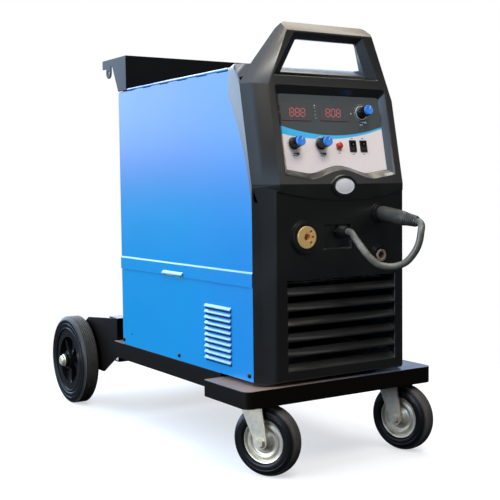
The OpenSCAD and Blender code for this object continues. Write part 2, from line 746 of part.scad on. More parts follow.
// The bevel in front of the grip opening, between an outline before the face and one behind it
module opening_bevel() {
    v0 = (ledge_z - lean_z) / cos(lean_a);
    before = [[-123.75, v0], [112, v0], [88, v0 + 81], [-68.7, v0 + 81]];
    behind = [[-100, v0], [91, v0], [75, v0 + 66], [-55.1, v0 + 66]];
    polyhedron(concat([for (p = before) [p[0], -4, p[1]]], [for (p = behind) [p[0], 16, p[1]]]),
        [[0, 3, 2], [0, 2, 1], [4, 5, 6], [4, 6, 7], [0, 1, 5], [0, 5, 4], [1, 2, 6], [1, 6, 5],
        [2, 3, 7], [2, 7, 6], [3, 0, 4], [3, 4, 7]]);
}

module handle_cutters() {
    lean() opening_bevel();
    // the opening itself, above a ledge that rises to the crown behind it
    intersection() {
        slice_y(-10, 130) polygon(rounded([[-101, ledge_z - 0.5, 0], [92, ledge_z - 0.5, 0],
            [76, ledge_z + 66, 6], [-57, ledge_z + 66, 6]]));
        slice_x(-bw, bw) polygon([[-10, ledge_z], [38, ledge_z], [84, crown_z], [140, crown_z],
            [140, handle_z], [-10, handle_z]]);
    }
    // the chamfers carried up along the handle's legs and over its top
    lean() translate([fw - 8, 0, 188]) rotate([0, -13, 0]) rotate([0, 0, atan2(chamfer_r[1], chamfer_r[0])])
        block([-90, -150, -90], [90, 0, 150]);
    mirror([1, 0, 0]) lean() translate([fw - 8, 0, 188]) rotate([0, -28.4, 0])
        rotate([0, 0, atan2(chamfer_l[1], chamfer_l[0])]) block([-90, -150, -90], [90, 0, 150]);
    slice_x(-bw, bw) polygon([[handle_back + 1, handle_z + 1], [16, handle_z - 57], [16, 830], [handle_back + 1, 830]]);
}

// Air slots: a through gap above a sill that slopes out to the face
slot_z0 = body_z0 + 34.5;
module air_slots() {
    gap_h = 6.2;
    for (i = [0:slot_n - 1]) translate([0, 0, slot_z0 + i * slot_pitch])
        slice_x(-slot_len / 2, slot_len / 2) polygon([[step_d - 8, gap_h], [40, gap_h], [40, -gap_h],
            [step_d + 10, -gap_h], [step_d, -17.3], [step_d - 8, -17.3 - 8]]);
}

torch_z = wire_z;
socket_x = 83;
dinse_z = [372, 447];
gland_at = [-2, 417];
pocket_d = 6;
badge_z = 496;
badge_a = 23;
badge_b = 15;

module front_bezel() {
    step_r = 590;
    step_z = 472;
    torch_boss_r = 29;
    color(black_plastic) stand() difference() {
        union() {
            difference() {
                intersection() {
                    union() {
                        translate([0, 0, bezel_z0]) linear_extrude(lean_z - bezel_z0) bezel_plan(0, 0);
                        lean() linear_extrude(handle_z - lean_z + 20) bezel_plan(0, 0);
                    }
                    slice_y(-20, 150) polygon(rounded([[-bw, bezel_z0, 0], [bw, bezel_z0, 0],
                        [bw, shoulder_z, 14], [handle_x + handle_w / 2, handle_z, 18], [handle_x - handle_w / 2, handle_z, 16],
                        [-bw, shoulder_z, 14]]));
                    union() {
                        slice_x(-bw, 0.1) side_outline(edge_front);
                        slice_x(0, bw) side_outline(edge_right);
                    }
                }
                // hollow behind the lower and the upper face
                translate([0, 0, bezel_z0 - cut]) linear_extrude(lean_z - bezel_z0 - 8) bezel_plan(wall, face_in);
                intersection() {
                    lean() translate([0, 0, -40]) linear_extrude(300) bezel_plan(wall, upper_in);
                    block([-bw, -10, lean_z - 30], [bw, 150, ledge_z - wall]);
                }
            }
            // backing of the air slots and of the cable's pocket
            block([-slot_len / 2 - 6, face_in - cut, slot_z0 - 24], [slot_len / 2 + 6, step_d + 14,
                slot_z0 + (slot_n - 1) * slot_pitch + 12]);
            block([-46, face_in - cut, gland_at[1] - 34], [23, step_d + pocket_d + wall, gland_at[1] + 17]);
            on_front(wire_x, torch_z, step_d + wall) cylinder(r = torch_boss_r, h = wall + 3);
            for (z = dinse_z) on_front(socket_x, z, step_d + wall) cylinder(r = dinse_d / 2 + 9, h = wall + 1);
            translate([0, 6, badge_z]) rotate([90, 0, 0]) linear_extrude(8.5)
                polygon(ellipse(badge_a + 4, badge_b + 4));
        }
        handle_cutters();
        // step below the upper face
        difference() {
            block([-fw - 40, -10, bezel_z0 - cut], [fw + 40, step_d, step_z + 20]);
            translate([0, -20, step_z + step_r]) along_y() cylinder(r = step_r, h = 60, $fn = 360);
            on_front(wire_x, torch_z, 20) cylinder(r = torch_boss_r, h = 20 - step_d + 3);
            for (z = dinse_z) on_front(socket_x, z, 20) cylinder(r = dinse_d / 2 + 9, h = 20 - step_d + 1);
            translate([0, 6, badge_z]) rotate([90, 0, 0]) linear_extrude(8.5)
                polygon(ellipse(badge_a + 4, badge_b + 4));
        }
        // recess of the control plate
        on_face(0, 0, recess_d) translate([0, plate_v + plate_h / 2, 0])
            linear_extrude(recess_d + 0.01, scale = [1.09, 1.175], slices = 1)
            translate([0, -plate_v - plate_h / 2]) polygon(plate_outline(0));
        on_face(0, 0, recess_d + 2) linear_extrude(3) polygon(plate_outline(0));
        on_face(0, 0, upper_in + 6) linear_extrude(10)
            polygon(rounded(rect(-plate_w / 2 + 6, plate_v + 22, plate_w / 2 - 6, plate_top - 6, 4)));
        air_slots();
        block([gland_at[0] - 39, step_d - 10, gland_at[1] - 29], [gland_at[0] + 20, step_d + pocket_d, gland_at[1] + 12]);
        on_front(gland_at[0], gland_at[1], 40) cylinder(r = 8, h = 60);
        on_front(wire_x, torch_z, 40) cylinder(d = torch_d + 2 * seat_gap, h = 60);
        for (z = dinse_z) on_front(socket_x, z, 40) cylinder(d = dinse_d + 2 * seat_gap, h = 60);
        translate([0, 0, badge_z]) rotate([90, 0, 0]) linear_extrude(10) polygon(ellipse(badge_a + seat_gap, badge_b + seat_gap));
    }
}

module badge() {
    color("#c9ced6") stand() difference() {
        translate([0, 0, badge_z]) rotate([90, 0, 0]) linear_extrude(3) polygon(ellipse(badge_a, badge_b));
        translate([0, -2.2, badge_z]) rotate([90, 0, 0]) linear_extrude(3) polygon(ellipse(badge_a - 3, badge_b - 3));
    }
}

// Places on the control plate, as [x, v]
voltage_at = [plate_w / 2 - 43, 130.5];
speed_at = [-plate_w / 2 + 21, 72.5];
inductance_at = [-32, 72.5];
button_at = [7, 69.5];
rocker_at = [[38, 69.5], [62, 69.5]];
window_at = [[-plate_w / 2 + 33, 127.5], [6, 128.5]];
knob_places = [voltage_at, speed_at, inductance_at];
plate_t2 = 2;

module control_plate() {
    color("#5c6662") stand() difference() {
        on_face(0, 0, recess_d + plate_t2) linear_extrude(plate_t2) polygon(plate_outline(seat_gap));
        for (p = knob_places) on_plate(p) translate([0, 0, -5]) cylinder(d = pot_d + 1, h = 10);
        on_plate(button_at) translate([0, 0, -5]) cylinder(d = button_d - 1, h = 10);
        for (p = rocker_at) on_plate(p) translate([0, 0, -5]) linear_extrude(10)
            square([rocker_w - 2, rocker_h - 2], center = true);
        for (p = window_at) on_plate(p) translate([0, 0, -5]) linear_extrude(10)
            square([window_w - 6, window_h - 6], center = true);
    }
}

module display_windows() {
    color("#3a1416") stand() for (p = window_at) on_plate(p) {
        linear_extrude(1) polygon(rounded(rect(-window_w / 2, -window_h / 2, window_w / 2, window_h / 2, 2)));
        translate([0, 0, -6]) linear_extrude(6) square([window_w - 12, window_h - 7], center = true);
    }
}

module dial_rings() {
    color(zinc) stand() for (p = knob_places) on_plate(p) difference() {
        cylinder(d = knob_d + 8, h = 0.8);
        translate([0, 0, -cut]) cylinder(d = knob_d + 4, h = 3);
    }
}

// Frames of the two rocker switches and of the mains switch
rocker_pin = 1.5;
module switch_frames() {
    color(black_plastic) stand() {
        for (p = rocker_at) on_plate(p) difference() {
            union() {
                linear_extrude(1.5) polygon(rounded(rect(-rocker_w / 2, -rocker_h / 2, rocker_w / 2, rocker_h / 2, 1)));
                translate([0, 0, -12]) linear_extrude(12) square([rocker_w - 2.5, rocker_h - 2.5], center = true);
            }
            translate([0, 0, -9]) linear_extrude(14) square([rocker_w - 5, rocker_h - 5], center = true);
            translate([-rocker_w, 0, -3]) along_x() cylinder(r = rocker_pin + run_gap, h = 2 * rocker_w);
        }
        translate([mains_x, body_rear, mains_switch_z]) difference() {
            union() {
                slice_y(0, 4) polygon(rounded(rect(-30, -30, 30, 30, 5)));
                translate([0, -40, 0]) along_y() cylinder(r = 11, h = 40);
            }
            translate([0, -20, 0]) along_y() cylinder(r = 4 + run_gap, h = 40);
        }
    }
}

// Board behind the control plate, with three potentiometers and the display modules' legs
module control_board() {
    board_depth = 19;
    pot_r = 8;
    color("#1f5a36") stand() {
        on_face(0, 0, recess_d + plate_t2 + board_depth) linear_extrude(1.6)
            polygon(rounded(rect(-98, 50, 98, 155)));
        for (p = knob_places) on_plate(p) {
            translate([0, 0, -plate_t2 - board_depth + 1.6]) cylinder(r = pot_r, h = board_depth - 1.6);
            cylinder(d = pot_d, h = 16);
            translate([0, 0, -plate_t2 - 1]) cylinder(d = pot_d, h = 3);
        }
        on_plate(button_at) translate([0, 0, -plate_t2 - board_depth + 1.6]) cylinder(d = button_d, h = board_depth - 10);
    }
}

module knob(at) {
    skirt_h = 3;
    lift = move_gap;
    flute_n = 16;
    stand() on_plate(at) translate([0, 0, lift]) difference() {
        rotate_extrude() difference() {
            polygon([[0, 0], [knob_d / 2 + 1.5, 0], [knob_d / 2 + 1.5, skirt_h - 1], [knob_d / 2 + 0.5, skirt_h],
                [knob_d / 2, skirt_h], [knob_d / 2 - 0.5, knob_h - 1], [knob_d / 2 - 1.5, knob_h], [0, knob_h]]);
            translate([-1, -1]) square([pot_d / 2 + run_gap + 1, 17]);
        }
        for (i = [0:flute_n - 1]) rotate(360 / flute_n * i) translate([knob_d / 2 + 0.1, 0, skirt_h])
            cylinder(r = 0.7, h = knob_h - skirt_h - 5);
    }
}
module voltage_knob() {
    color(black_plastic) knob(voltage_at);
}
module speed_knob() {
    color(black_plastic) knob(speed_at);
}
module inductance_knob() {
    color(black_plastic) knob(inductance_at);
}

module purge_button() {
    stem_r = button_d / 2 - 0.5 - move_gap;
    color("#c8281e") stand() on_plate(button_at) {
        translate([0, 0, -plate_t2 - 3]) cylinder(r = stem_r, h = plate_t2 + 3 + button_travel + 1);
        translate([0, 0, button_travel + 0.8]) rotate_extrude() intersection() {
            translate([0, -button_d * 0.6]) circle(d = button_d * 1.9);
            translate([0, 0]) square([button_d / 2, 6]);
        }
    }
}

rocker_tilt = 8;
module rocker(at) {
    w = rocker_w - 5 - 2 * move_gap;
    h = rocker_h - 5 - 2 * move_gap;
    color(black_plastic) stand() on_plate(at) translate([0, 0, -3]) rotate([rocker_tilt, 0, 0]) {
        slice_x(-w / 2, w / 2) polygon([[-h / 2 + 0.6, 5], [0, 4], [h / 2 - 0.6, 5], [h / 2 - 1, 0], [0, -3], [-h / 2 + 1, 0]]);
        translate([-rocker_w / 2 + 1.3, 0, 0]) along_x() cylinder(r = rocker_pin, h = rocker_w - 2.6);
    }
}
module rocker_left() {
    rocker(rocker_at[0]);
}
module rocker_right() {
    rocker(rocker_at[1]);
}

// ---------------------------------------------------------------- sockets, cable and plug

flange_out = 4;
socket_face = step_d - 1;                  // front of the boss that a current socket stands on
module socket_flanges() {
    color(black_plastic) stand() {
        on_front(wire_x, torch_z, step_d - 3) difference() {
            cylinder(r = 26.5, h = 3);
            translate([0, 0, -cut]) cylinder(d = torch_d + 2 * seat_gap, h = 10);
        }
        for (z = dinse_z) on_front(socket_x, z, socket_face) difference() {
            cylinder(r = dinse_d / 2 + 6, h = flange_out);
            translate([0, 0, -cut]) cylinder(d = dinse_d + 2 * seat_gap, h = 10);
            for (s = [-1, 1]) translate([s * (dinse_d / 2 + 3), -dinse_d / 2, -cut]) cylinder(r = 1.5, h = 10);
        }
    }
}

// Central adaptor: a brass body with a wire bore, two pin holes and a gas hole, and a tail to the feeder
torch_front = step_d - 8;
torch_tail = roll_y - 60;
module torch_socket_body() {
    color(brass) stand() translate([wire_x, 0, torch_z]) difference() {
        union() {
            translate([0, torch_front, 0]) along_y() cylinder(d = torch_d, h = 44 - torch_front);
            translate([0, 40, 0]) along_y() cylinder(r = 9, h = torch_tail - 40);
        }
        translate([0, torch_front - cut, 0]) along_y() cylinder(d = torch_bore, h = 40);
        translate([0, 20, 0]) along_y() cylinder(r = 2, h = torch_tail);
        for (a = [-50, 0, 50]) translate([12.5 * cos(a), torch_front - cut, 12.5 * sin(a)]) along_y() cylinder(r = 2.5, h = 20);
    }
}

module current_socket_inserts() {
    color(brass) stand() for (z = dinse_z) translate([socket_x, 0, z]) difference() {
        translate([0, socket_face - flange_out - 0.5, 0]) along_y() cylinder(d = dinse_d, h = 36);
        translate([0, socket_face - flange_out - 0.5 - cut, 0]) along_y() cylinder(d = dinse_bore, h = 26);
    }
}

plug_at = [socket_x, socket_face - flange_out - 0.5, dinse_z[1]];
plug_dir = [0, cos(plug_droop), sin(plug_droop)];
plug_tail = plug_at - plug_len * plug_dir;
module on_plug() {
    translate(plug_at) rotate([plug_droop, 0, 0]) children();
}
module polarity_plug() {
    tip_r = cable_d / 2 + 3;
    color(rubber) stand() {
        difference() {
            on_plug() translate([0, 6, 0]) rotate([90, 0, 0]) rotate_extrude() polygon([[0, 0], [plug_d / 2 - 1.5, 0],
                [plug_d / 2, 14], [plug_d / 2 - 0.5, 62], [tip_r + 1.5, 72], [tip_r + 1.5, 76], [tip_r, 77],
                [tip_r + 1, 82], [tip_r - 0.5, 83], [tip_r + 0.5, 88], [tip_r - 1, 89], [tip_r - 0.3, plug_len + 6],
                [0, plug_len + 6]]);
            block([plug_at[0] - 30, plug_at[1], plug_at[2] - 30], [plug_at[0] + 30, 30, plug_at[2] + 30]);
        }
        translate([plug_at[0], plug_at[1] - 2, plug_at[2]]) along_y() cylinder(d = dinse_bore - 2, h = 22);
    }
}

module polarity_gland() {
    seat = step_d + pocket_d;
    color(black_plastic) stand() difference() {
        on_front(gland_at[0], gland_at[1], seat) {
            cylinder(r = 13, h = 6, $fn = 6);
            translate([0, 0, 6]) cylinder(r1 = 11.5, r2 = 9, h = 16);
            translate([0, 0, -wall - 8]) cylinder(r = 8 - seat_gap, h = wall + 8);
        }
        on_front(gland_at[0], gland_at[1], seat) translate([0, 0, 22 - 4]) cylinder(d = cable_d + 0.2, h = 10);
    }
}

// The cable runs from the gland in a loop to the plug's tail
cable_route = [[-2, -8, 417], [-2, -22, 416], [-4, -37, 405], [0, -51, 389], [7, -62, 374], [18, -71, 363],
    [31, -80, 359], [44, -88, 360], [56, -96, 366], [64, -102, 376], [69, -109, 389], [72, -113, 403],
    [75, -113, 417], [80, -109, 428], plug_tail - 6 * plug_dir, plug_tail];
cable_sides = 10;
function ring_points(i) = let (n = len(cable_route), p = cable_route[i],
        t = i == 0 ? [0, -1, 0] : i == n - 1 ? plug_dir :
            unit(cable_route[i + 1] - cable_route[i - 1]),
        side = [1, 0, 0], b = unit(side - t * (side * t)), c = cross(t, b))
    [for (k = [0:cable_sides - 1]) p + (b * cos(360 * k / cable_sides) + c * sin(360 * k / cable_sides)) * cable_d / 2];
module polarity_cable() {
    n = len(cable_route);
    m = cable_sides;
    points = [for (i = [0:n - 1]) each ring_points(i)];
    sides = [for (i = [0:n - 2]) for (k = [0:m - 1]) let (a = i * m + k, b = i * m + (k + 1) % m)
        each [[a, b, a + m], [b, b + m, a + m]]];
    ends = concat([[for (k = [m - 1:-1:0]) k]], [[for (k = [0:m - 1]) (n - 1) * m + k]]);
    color(rubber) stand() polyhedron(points, concat(sides, ends));
}

// ---------------------------------------------------------------- rear fittings

module mains_switch_knob() {
    color("#b8261f") stand() translate([mains_x, body_rear + 4 + move_gap, mains_switch_z]) {
        along_y() cylinder(r = 19, h = 8);
        translate([0, 8, 0]) slice_y(0, 14) polygon(rounded(rect(-5.5, -18, 5.5, 18, 3)));
        translate([0, -20, 0]) along_y() cylinder(r = 4, h = 21);
    }
}

module mains_gland() {
    color(black_plastic) stand() translate([mains_x, body_rear, mains_gland_z]) along_y() difference() {
        union() {
            cylinder(r = 18, h = 8, $fn = 6);
            translate([0, 0, 8]) cylinder(r1 = 14, r2 = 10, h = 18);
            translate([0, 0, -12]) cylinder(r = 12 - seat_gap, h = 12);
        }
        translate([0, 0, -20]) cylinder(r = 6, h = 60);
    }
}

gas_r = 4;
module gas_inlet() {
    color(brass) stand() translate([gas_x, body_rear, gas_z]) along_y() difference() {
        union() {
            cylinder(r = 11, h = 8, $fn = 6);
            translate([0, 0, 8]) cylinder(r = gas_r, h = 24);
            translate([0, 0, -14]) cylinder(r = 7 - seat_gap, h = 14);
        }
        translate([0, 0, -20]) cylinder(r = 2.2, h = 60);
    }
}

// Bottle bracket: an upright plate with two cheeks whose arms carry rounded chain tabs
module bottle_bracket() {
    top = body_z1 + bracket_h;
    hook_y = arm_rear - 30;
    hook_z = top - 28;
    tab_r = 12;
    color(black_paint) stand() {
        block([-half, bracket_y, body_z1], [half, bracket_y + bracket_t, top]);
        block([-half, bracket_y, body_z1], [half, bracket_y + 25, body_z1 + bracket_t]);
        both_sides() difference() {
            slice_x(half - bracket_t, half) {
                polygon(rounded([[bracket_y, body_z1, 0], [body_rear + 2, body_z1, 2], [arm_rear - 49, top - arm_h + 3, 6],
                    [arm_rear, top - arm_h, 3], [arm_rear, top, 3], [bracket_y, top, 0]]));
                translate([hook_y, hook_z]) circle(tab_r);
                translate([hook_y - tab_r, hook_z]) square([2 * tab_r, top - arm_h - hook_z + 3]);
            }
            translate([half - bracket_t - cut, hook_y, hook_z]) along_x() cylinder(d = hook_d, h = bracket_t + 2 * cut);
        }
    }
}

// Screws of the case and bolts of the caster plates
module screw_head(r, h) {
    rotate_extrude() intersection() {
        translate([0, h - r * 1.6]) circle(r * 1.6);
        square([r, h]);
    }
}
module fasteners() {
    screw_z = body_z0 + 10;
    color(black_paint) stand() {
        for (y = [44, 295, 540]) translate([-half, y, screw_z]) mirror([1, 0, 0]) along_x() screw_head(4.2, 2.6);
        for (y = [76, 295, 540]) translate([half, y, screw_z]) along_x() screw_head(4.2, 2.6);
        for (s = [-1, 1]) for (z = [body_z0 + 35, body_z0 + 180, roof_in - 20])
            translate([s * (inner - 10), body_rear, z]) along_y() screw_head(4.2, 2.6);
        for (s = [-1, 1]) translate([s * 120, bracket_y + 16, body_z1 + bracket_t]) screw_head(5.5, 3.5);
        for (s = [-1, 1]) for (x = [-1, 1]) for (y = [-1, 1])
            translate([s * caster_gap / 2 + x * 30, caster_y + y * 40, caster_h - plate_t - 5]) {
                cylinder(r = 7, h = 5, $fn = 6);
                cylinder(r = 4, h = 5 + plate_t);
            }
    }
}

// ---------------------------------------------------------------- inside

// Two-roll feeder: a casting on the partition with wire guides, and pivots for the arm and the lever
arm_pivot = [214, 440];
lever_pivot = [122, 372];
arm_pin_r = 4;
lever_pin_r = 3;
lever_x = -98;
arm_x0 = -74;
arm_x1 = -66;
module feeder_body() {
    plate_x = wall_x - 12;
    color("#9a9da0") stand() difference() {
        union() {
            slice_x(plate_x, wall_x) polygon(rounded(rect(114, 356, 226, 458, 8)));
            translate([arm_x1 + 2, roll_y, roll_z]) along_x() cylinder(r = 12, h = -arm_x1 - 2 + plate_x + cut);
            block([wire_x - 7, roll_y - 60, wire_z - 8], [plate_x + cut, roll_y - 60 + 8, wire_z + 8]);
            block([wire_x - 7, 200, wire_z - 8], [plate_x + cut, 214, wire_z + 8]);
            translate([arm_x1 + 1, arm_pivot[0], arm_pivot[1]]) along_x() cylinder(r = 8, h = -arm_x1 - 1 + plate_x + cut);
            translate([arm_x0 - 2, arm_pivot[0], arm_pivot[1]]) along_x() cylinder(r = arm_pin_r, h = 12);
            translate([lever_x + 5, lever_pivot[0], lever_pivot[1]]) along_x() cylinder(r = 6, h = -lever_x - 5 + plate_x + cut);
            translate([lever_x - 6, lever_pivot[0], lever_pivot[1]]) along_x() cylinder(r = lever_pin_r, h = 14);
        }
        translate([-100, roll_y, roll_z]) along_x() cylinder(r = roll_shaft_d / 2 + run_gap, h = 120);
        translate([wire_x, 90, wire_z]) along_y() cylinder(r = 1.5, h = 200);
    }
}

module feed_roll() {
    groove = 1;
    color(zinc) stand() translate([0, roll_y, roll_z]) {
        translate([wire_x, 0, 0]) along_x() rotate_extrude() difference() {
            translate([0, -roll_w / 2]) square([roll_r, roll_w]);
            translate([roll_r, 0]) circle(groove);
        }
        translate([wire_x - roll_w / 2 - 5, 0, 0]) along_x() cylinder(r = 11, h = 5);
        translate([wire_x, 0, 0]) along_x() cylinder(d = roll_shaft_d, h = -wire_x + 12);
    }
}

module pressure_arm() {
    color("#c0392b") stand() difference() {
        union() {
            slice_x(arm_x0, arm_x1) {
                translate([arm_pivot[0], arm_pivot[1]]) circle(10);
                translate([roll_y, wire_z + roll_r + 0.6]) circle(9);
                polygon([[arm_pivot[0], 449.5], [116, 449], [116, 441], [150, 441], [165, 425], [180, 425],
                    [arm_pivot[0], 431]]);
            }
            block([lever_x - 7, 113, 441], [arm_x1, 134, 449]);
            translate([wire_x - roll_w / 2 - 3, roll_y, wire_z + roll_r + 0.6]) along_x()
                cylinder(r = arm_pin_r, h = arm_x0 - wire_x + roll_w / 2 + 4);
        }
        translate([-100, arm_pivot[0], arm_pivot[1]]) along_x() cylinder(r = arm_pin_r + run_gap, h = 60);
        block([lever_x - 4, 100, 430], [lever_x + 4, 127, 460]);
    }
}

module pressure_roll() {
    color(zinc) stand() translate([wire_x, roll_y, wire_z + roll_r + 0.6]) along_x() difference() {
        translate([0, 0, -roll_w / 2]) cylinder(r = roll_r, h = roll_w);
        translate([0, 0, -roll_w]) cylinder(r = arm_pin_r + run_gap, h = 2 * roll_w);
    }
}

module tension_lever() {
    color(black_plastic) stand() translate([lever_x, lever_pivot[0], lever_pivot[1]]) difference() {
        union() {
            translate([-4, 0, 0]) along_x() cylinder(r = 6, h = 8);
            cylinder(r = 3, h = 100);
            translate([0, 0, 86]) cylinder(r = 9, h = 34);
        }
        translate([-10, 0, 0]) along_x() cylinder(r = lever_pin_r + run_gap, h = 20);
    }
}

module feed_motor() {
    x0 = wall_x + sheet;
    color("#3d4043") stand() translate([0, roll_y, roll_z]) difference() {
        union() {
            translate([x0, 0, 0]) along_x() cylinder(r = 34, h = 44);
            translate([x0 + 44, 0, 0]) along_x() cylinder(r = 29, h = 78);
            translate([x0 + 122, 0, 0]) along_x() cylinder(r = 12, h = 8);
        }
        translate([x0 - cut, 0, 0]) along_x() cylinder(r = roll_shaft_d / 2 + run_gap, h = 24);
    }
}

hub_x0 = wire_x + spool_hub_len / 2;
module spool_shaft() {
    color(zinc) stand() translate([0, spool_y, spool_z]) {
        translate([wall_x - 5, 0, 0]) along_x() cylinder(r = 32, h = 5);
        translate([hub_x0 + 4 + move_gap, 0, 0]) along_x() cylinder(r = 14, h = wall_x - hub_x0 - 5 - 4 - move_gap + cut);
        translate([hub_x0 - spool_hub_len - 10, 0, 0]) along_x()
            cylinder(d = spool_shaft_d, h = spool_hub_len + 10 + wall_x - hub_x0 - 4);
        translate([hub_x0 - spool_hub_len - 10, 0, 0]) along_x() cylinder(r = 13, h = 10 - move_gap, $fn = 6);
    }
}
module spool_hub() {
    color(black_plastic) stand() translate([hub_x0, spool_y, spool_z]) difference() {
        union() {
            translate([-spool_hub_len, 0, 0]) along_x() cylinder(d = spool_hub_d, h = spool_hub_len);
            along_x() cylinder(r = 38, h = 4);
            translate([0, 32, 0]) rotate([0, -90, 0]) cylinder(r = 5, h = 14);
        }
        translate([-spool_hub_len - cut, 0, 0]) along_x() cylinder(r = spool_shaft_d / 2 + run_gap, h = 2 * spool_hub_len);
    }
}

// Finned heat sink with the power board on its pillars
module power_module() {
    base = [-150, 200, floor_z];
    fin_n = 12;
    pitch = 11;
    length = 210;
    fin_h = 55;
    width = (fin_n - 1) * pitch + 3;
    color("#a9adb0") stand() translate(base) {
        block([0, 0, 0], [width, length, 8]);
        for (i = [0:fin_n - 1]) block([i * pitch, 0, 7], [i * pitch + 3, length, fin_h]);
        for (x = [6, width - 6]) for (y = [15, length - 15]) translate([x, y, 6]) cylinder(r = 4, h = fin_h + 12);
        block([0, 5, fin_h + 17], [width, length - 5, fin_h + 19]);
        for (i = [0:3]) translate([22 + i * 28, length / 2, fin_h + 18]) cylinder(r = 12, h = 28);
    }
}

// Laminated core with its winding
module transformer() {
    color("#8a5a34") stand() translate([90, 330, floor_z]) {
        block([-60, -30, 4], [60, 30, 124]);
        block([-36, -52, 24], [36, 52, 104]);
        for (s = [-1, 1]) block([-60, s * 34 - 8, 0], [60, s * 34 + 8, 5]);
    }
}

// Axial fan in the rear wall's lower half
module fan_frame() {
    y0 = body_rear - sheet - fan_d;
    color(black_plastic) stand() translate([0, y0, fan_z]) {
        difference() {
            slice_y(0, fan_d) polygon(rounded(rect(-fan_s / 2, -fan_s / 2, fan_s / 2, fan_s / 2, 8)));
            translate([0, -cut, 0]) along_y() cylinder(r = fan_s / 2 - 4, h = fan_d + 2 * cut);
        }
        along_y() cylinder(r = 24, h = 6);
        for (a = [45, 135, 225, 315]) rotate([0, a, 0]) block([20, 0, -3], [fan_s / 2 - 2, 5, 3]);
        along_y() cylinder(r = 3, h = fan_d - 4);
    }
}
module fan_rotor() {
    y0 = body_rear - sheet - fan_d;
    tip = fan_s / 2 - 7;
    color("#2a2c2f") stand() translate([0, y0 + 8, fan_z]) difference() {
        union() {
            along_y() cylinder(r = 23, h = fan_d - 14);
            for (i = [0:blade_n - 1]) rotate([0, 360 / blade_n * i, 0]) translate([21, (fan_d - 14) / 2, 0]) rotate([38, 0, 0])
                block([0, -(fan_d - 17) / 2, -1.2], [tip - 22, (fan_d - 17) / 2, 1.2]);
        }
        translate([0, -cut, 0]) along_y() cylinder(r = 3 + run_gap, h = fan_d);
    }
}
module fan_guard() {
    wire_r = 1.6;
    rings = [16, 30, 44, 58];
    color(zinc) stand() translate([0, body_rear + wire_r, fan_z]) {
        for (r = rings) along_y() rotate_extrude() translate([r - wire_r, -wire_r]) square(2 * wire_r);
        for (a = [45, 135]) rotate([0, a, 0]) block([-fan_s / 2 + 2, -wire_r, -wire_r], [fan_s / 2 - 2, wire_r, wire_r]);
    }
}

deck();
side_rails();
bottle_tray();
rear_axle();
caster_plates();
mounting_pads();
base_pan();
cover_panel();
lower_side_panel();
rear_panel();
partition();
front_bezel();
control_plate();
display_windows();
dial_rings();
switch_frames();
control_board();
badge();
socket_flanges();
torch_socket_body();
current_socket_inserts();
polarity_gland();
polarity_cable();
polarity_plug();
feeder_body();
feed_motor();
spool_shaft();
power_module();
transformer();
fan_frame();
fan_guard();
mains_gland();
gas_inlet();
bottle_bracket();
fasteners();
hinge_pin();
spool_door();
caster_fork_left();
caster_fork_right();
caster_rim_left();
caster_rim_right();
caster_tyre_left();
caster_tyre_right();
rear_wheel_left();
rear_wheel_right();
rear_tyre_left();
rear_tyre_right();
voltage_knob();
speed_knob();
inductance_knob();
purge_button();
rocker_left();
rocker_right();
mains_switch_knob();
fan_rotor();
spool_hub();
feed_roll();
pressure_arm();
pressure_roll();
tension_lever();
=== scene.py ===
"""Looks of a MIG welder on its cart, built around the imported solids.

Lengths in this file are millimetres, measured as the part's source measures them: X to the
right, Y back from the front edge of the cart's deck, Z up from the floor. place() turns them
into metres in the row frame.
"""

from __future__ import annotations

import logging
import math
from dataclasses import dataclass
from enum import Enum
from typing import Callable, Iterable, Mapping, Sequence

import bmesh
import bpy
from mathutils import Matrix, Vector

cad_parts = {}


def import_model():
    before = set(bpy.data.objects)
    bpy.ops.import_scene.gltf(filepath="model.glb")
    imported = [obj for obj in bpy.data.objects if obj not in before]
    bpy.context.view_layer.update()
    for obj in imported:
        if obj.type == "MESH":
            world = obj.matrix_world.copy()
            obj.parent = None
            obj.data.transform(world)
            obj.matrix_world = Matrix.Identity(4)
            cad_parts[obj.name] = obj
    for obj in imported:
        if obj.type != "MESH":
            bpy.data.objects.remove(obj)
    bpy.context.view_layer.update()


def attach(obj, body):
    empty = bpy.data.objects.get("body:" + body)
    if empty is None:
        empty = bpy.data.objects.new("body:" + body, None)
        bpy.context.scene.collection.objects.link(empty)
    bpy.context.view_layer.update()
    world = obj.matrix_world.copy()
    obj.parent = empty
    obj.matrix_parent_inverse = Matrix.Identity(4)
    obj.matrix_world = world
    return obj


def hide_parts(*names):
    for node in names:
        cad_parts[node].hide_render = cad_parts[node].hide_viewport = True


LOG = logging.getLogger("welder")
MIDDLE_Y = 426.2809
CASE_SIDE = 170.5
LEAN = math.radians(11.3)
LEAN_Z = 500.0
PLATE_SET_BACK = 10.0
LOUVRES = 10
LOUVRE_PITCH = 10.5
LOUVRE_TOP = 286.5
LOUVRE_Y = (101.5, 192.5)
BADGE_Z = 496.0
BADGE_HALF = (23.0, 15.0)
HERE = Matrix.Identity(4)

Object = bpy.types.Object
Material = bpy.types.Material
Socket = bpy.types.NodeSocket
Edge = bmesh.types.BMEdge
Point = tuple[float, float, float]
Rgb = tuple[float, float, float]
Profile = Sequence[tuple[float, float]]


def place(x: float, y: float, z: float) -> Vector:
    """Turns a place in the source's millimetres into metres in the row frame."""
    return Vector((x, y - MIDDLE_Y, z)) / 1000.0


def srgb(red: int, green: int, blue: int) -> Rgb:
    """Turns a display colour, 0 to 255, into a linear one."""
    shares = (value / 255.0 for value in (red, green, blue))
    return tuple(((c + 0.055) / 1.055) ** 2.4 if c > 0.04 else c / 12.92 for c in shares)


def angles(steps: int) -> list[float]:
    """The angles of a full turn in equal steps, in radians."""
    return [2.0 * math.pi * k / steps for k in range(steps)]


def spin(degrees: float, axis: str = "Z") -> Matrix:
    """A turn about one axis."""
    return Matrix.Rotation(math.radians(degrees), 4, axis)


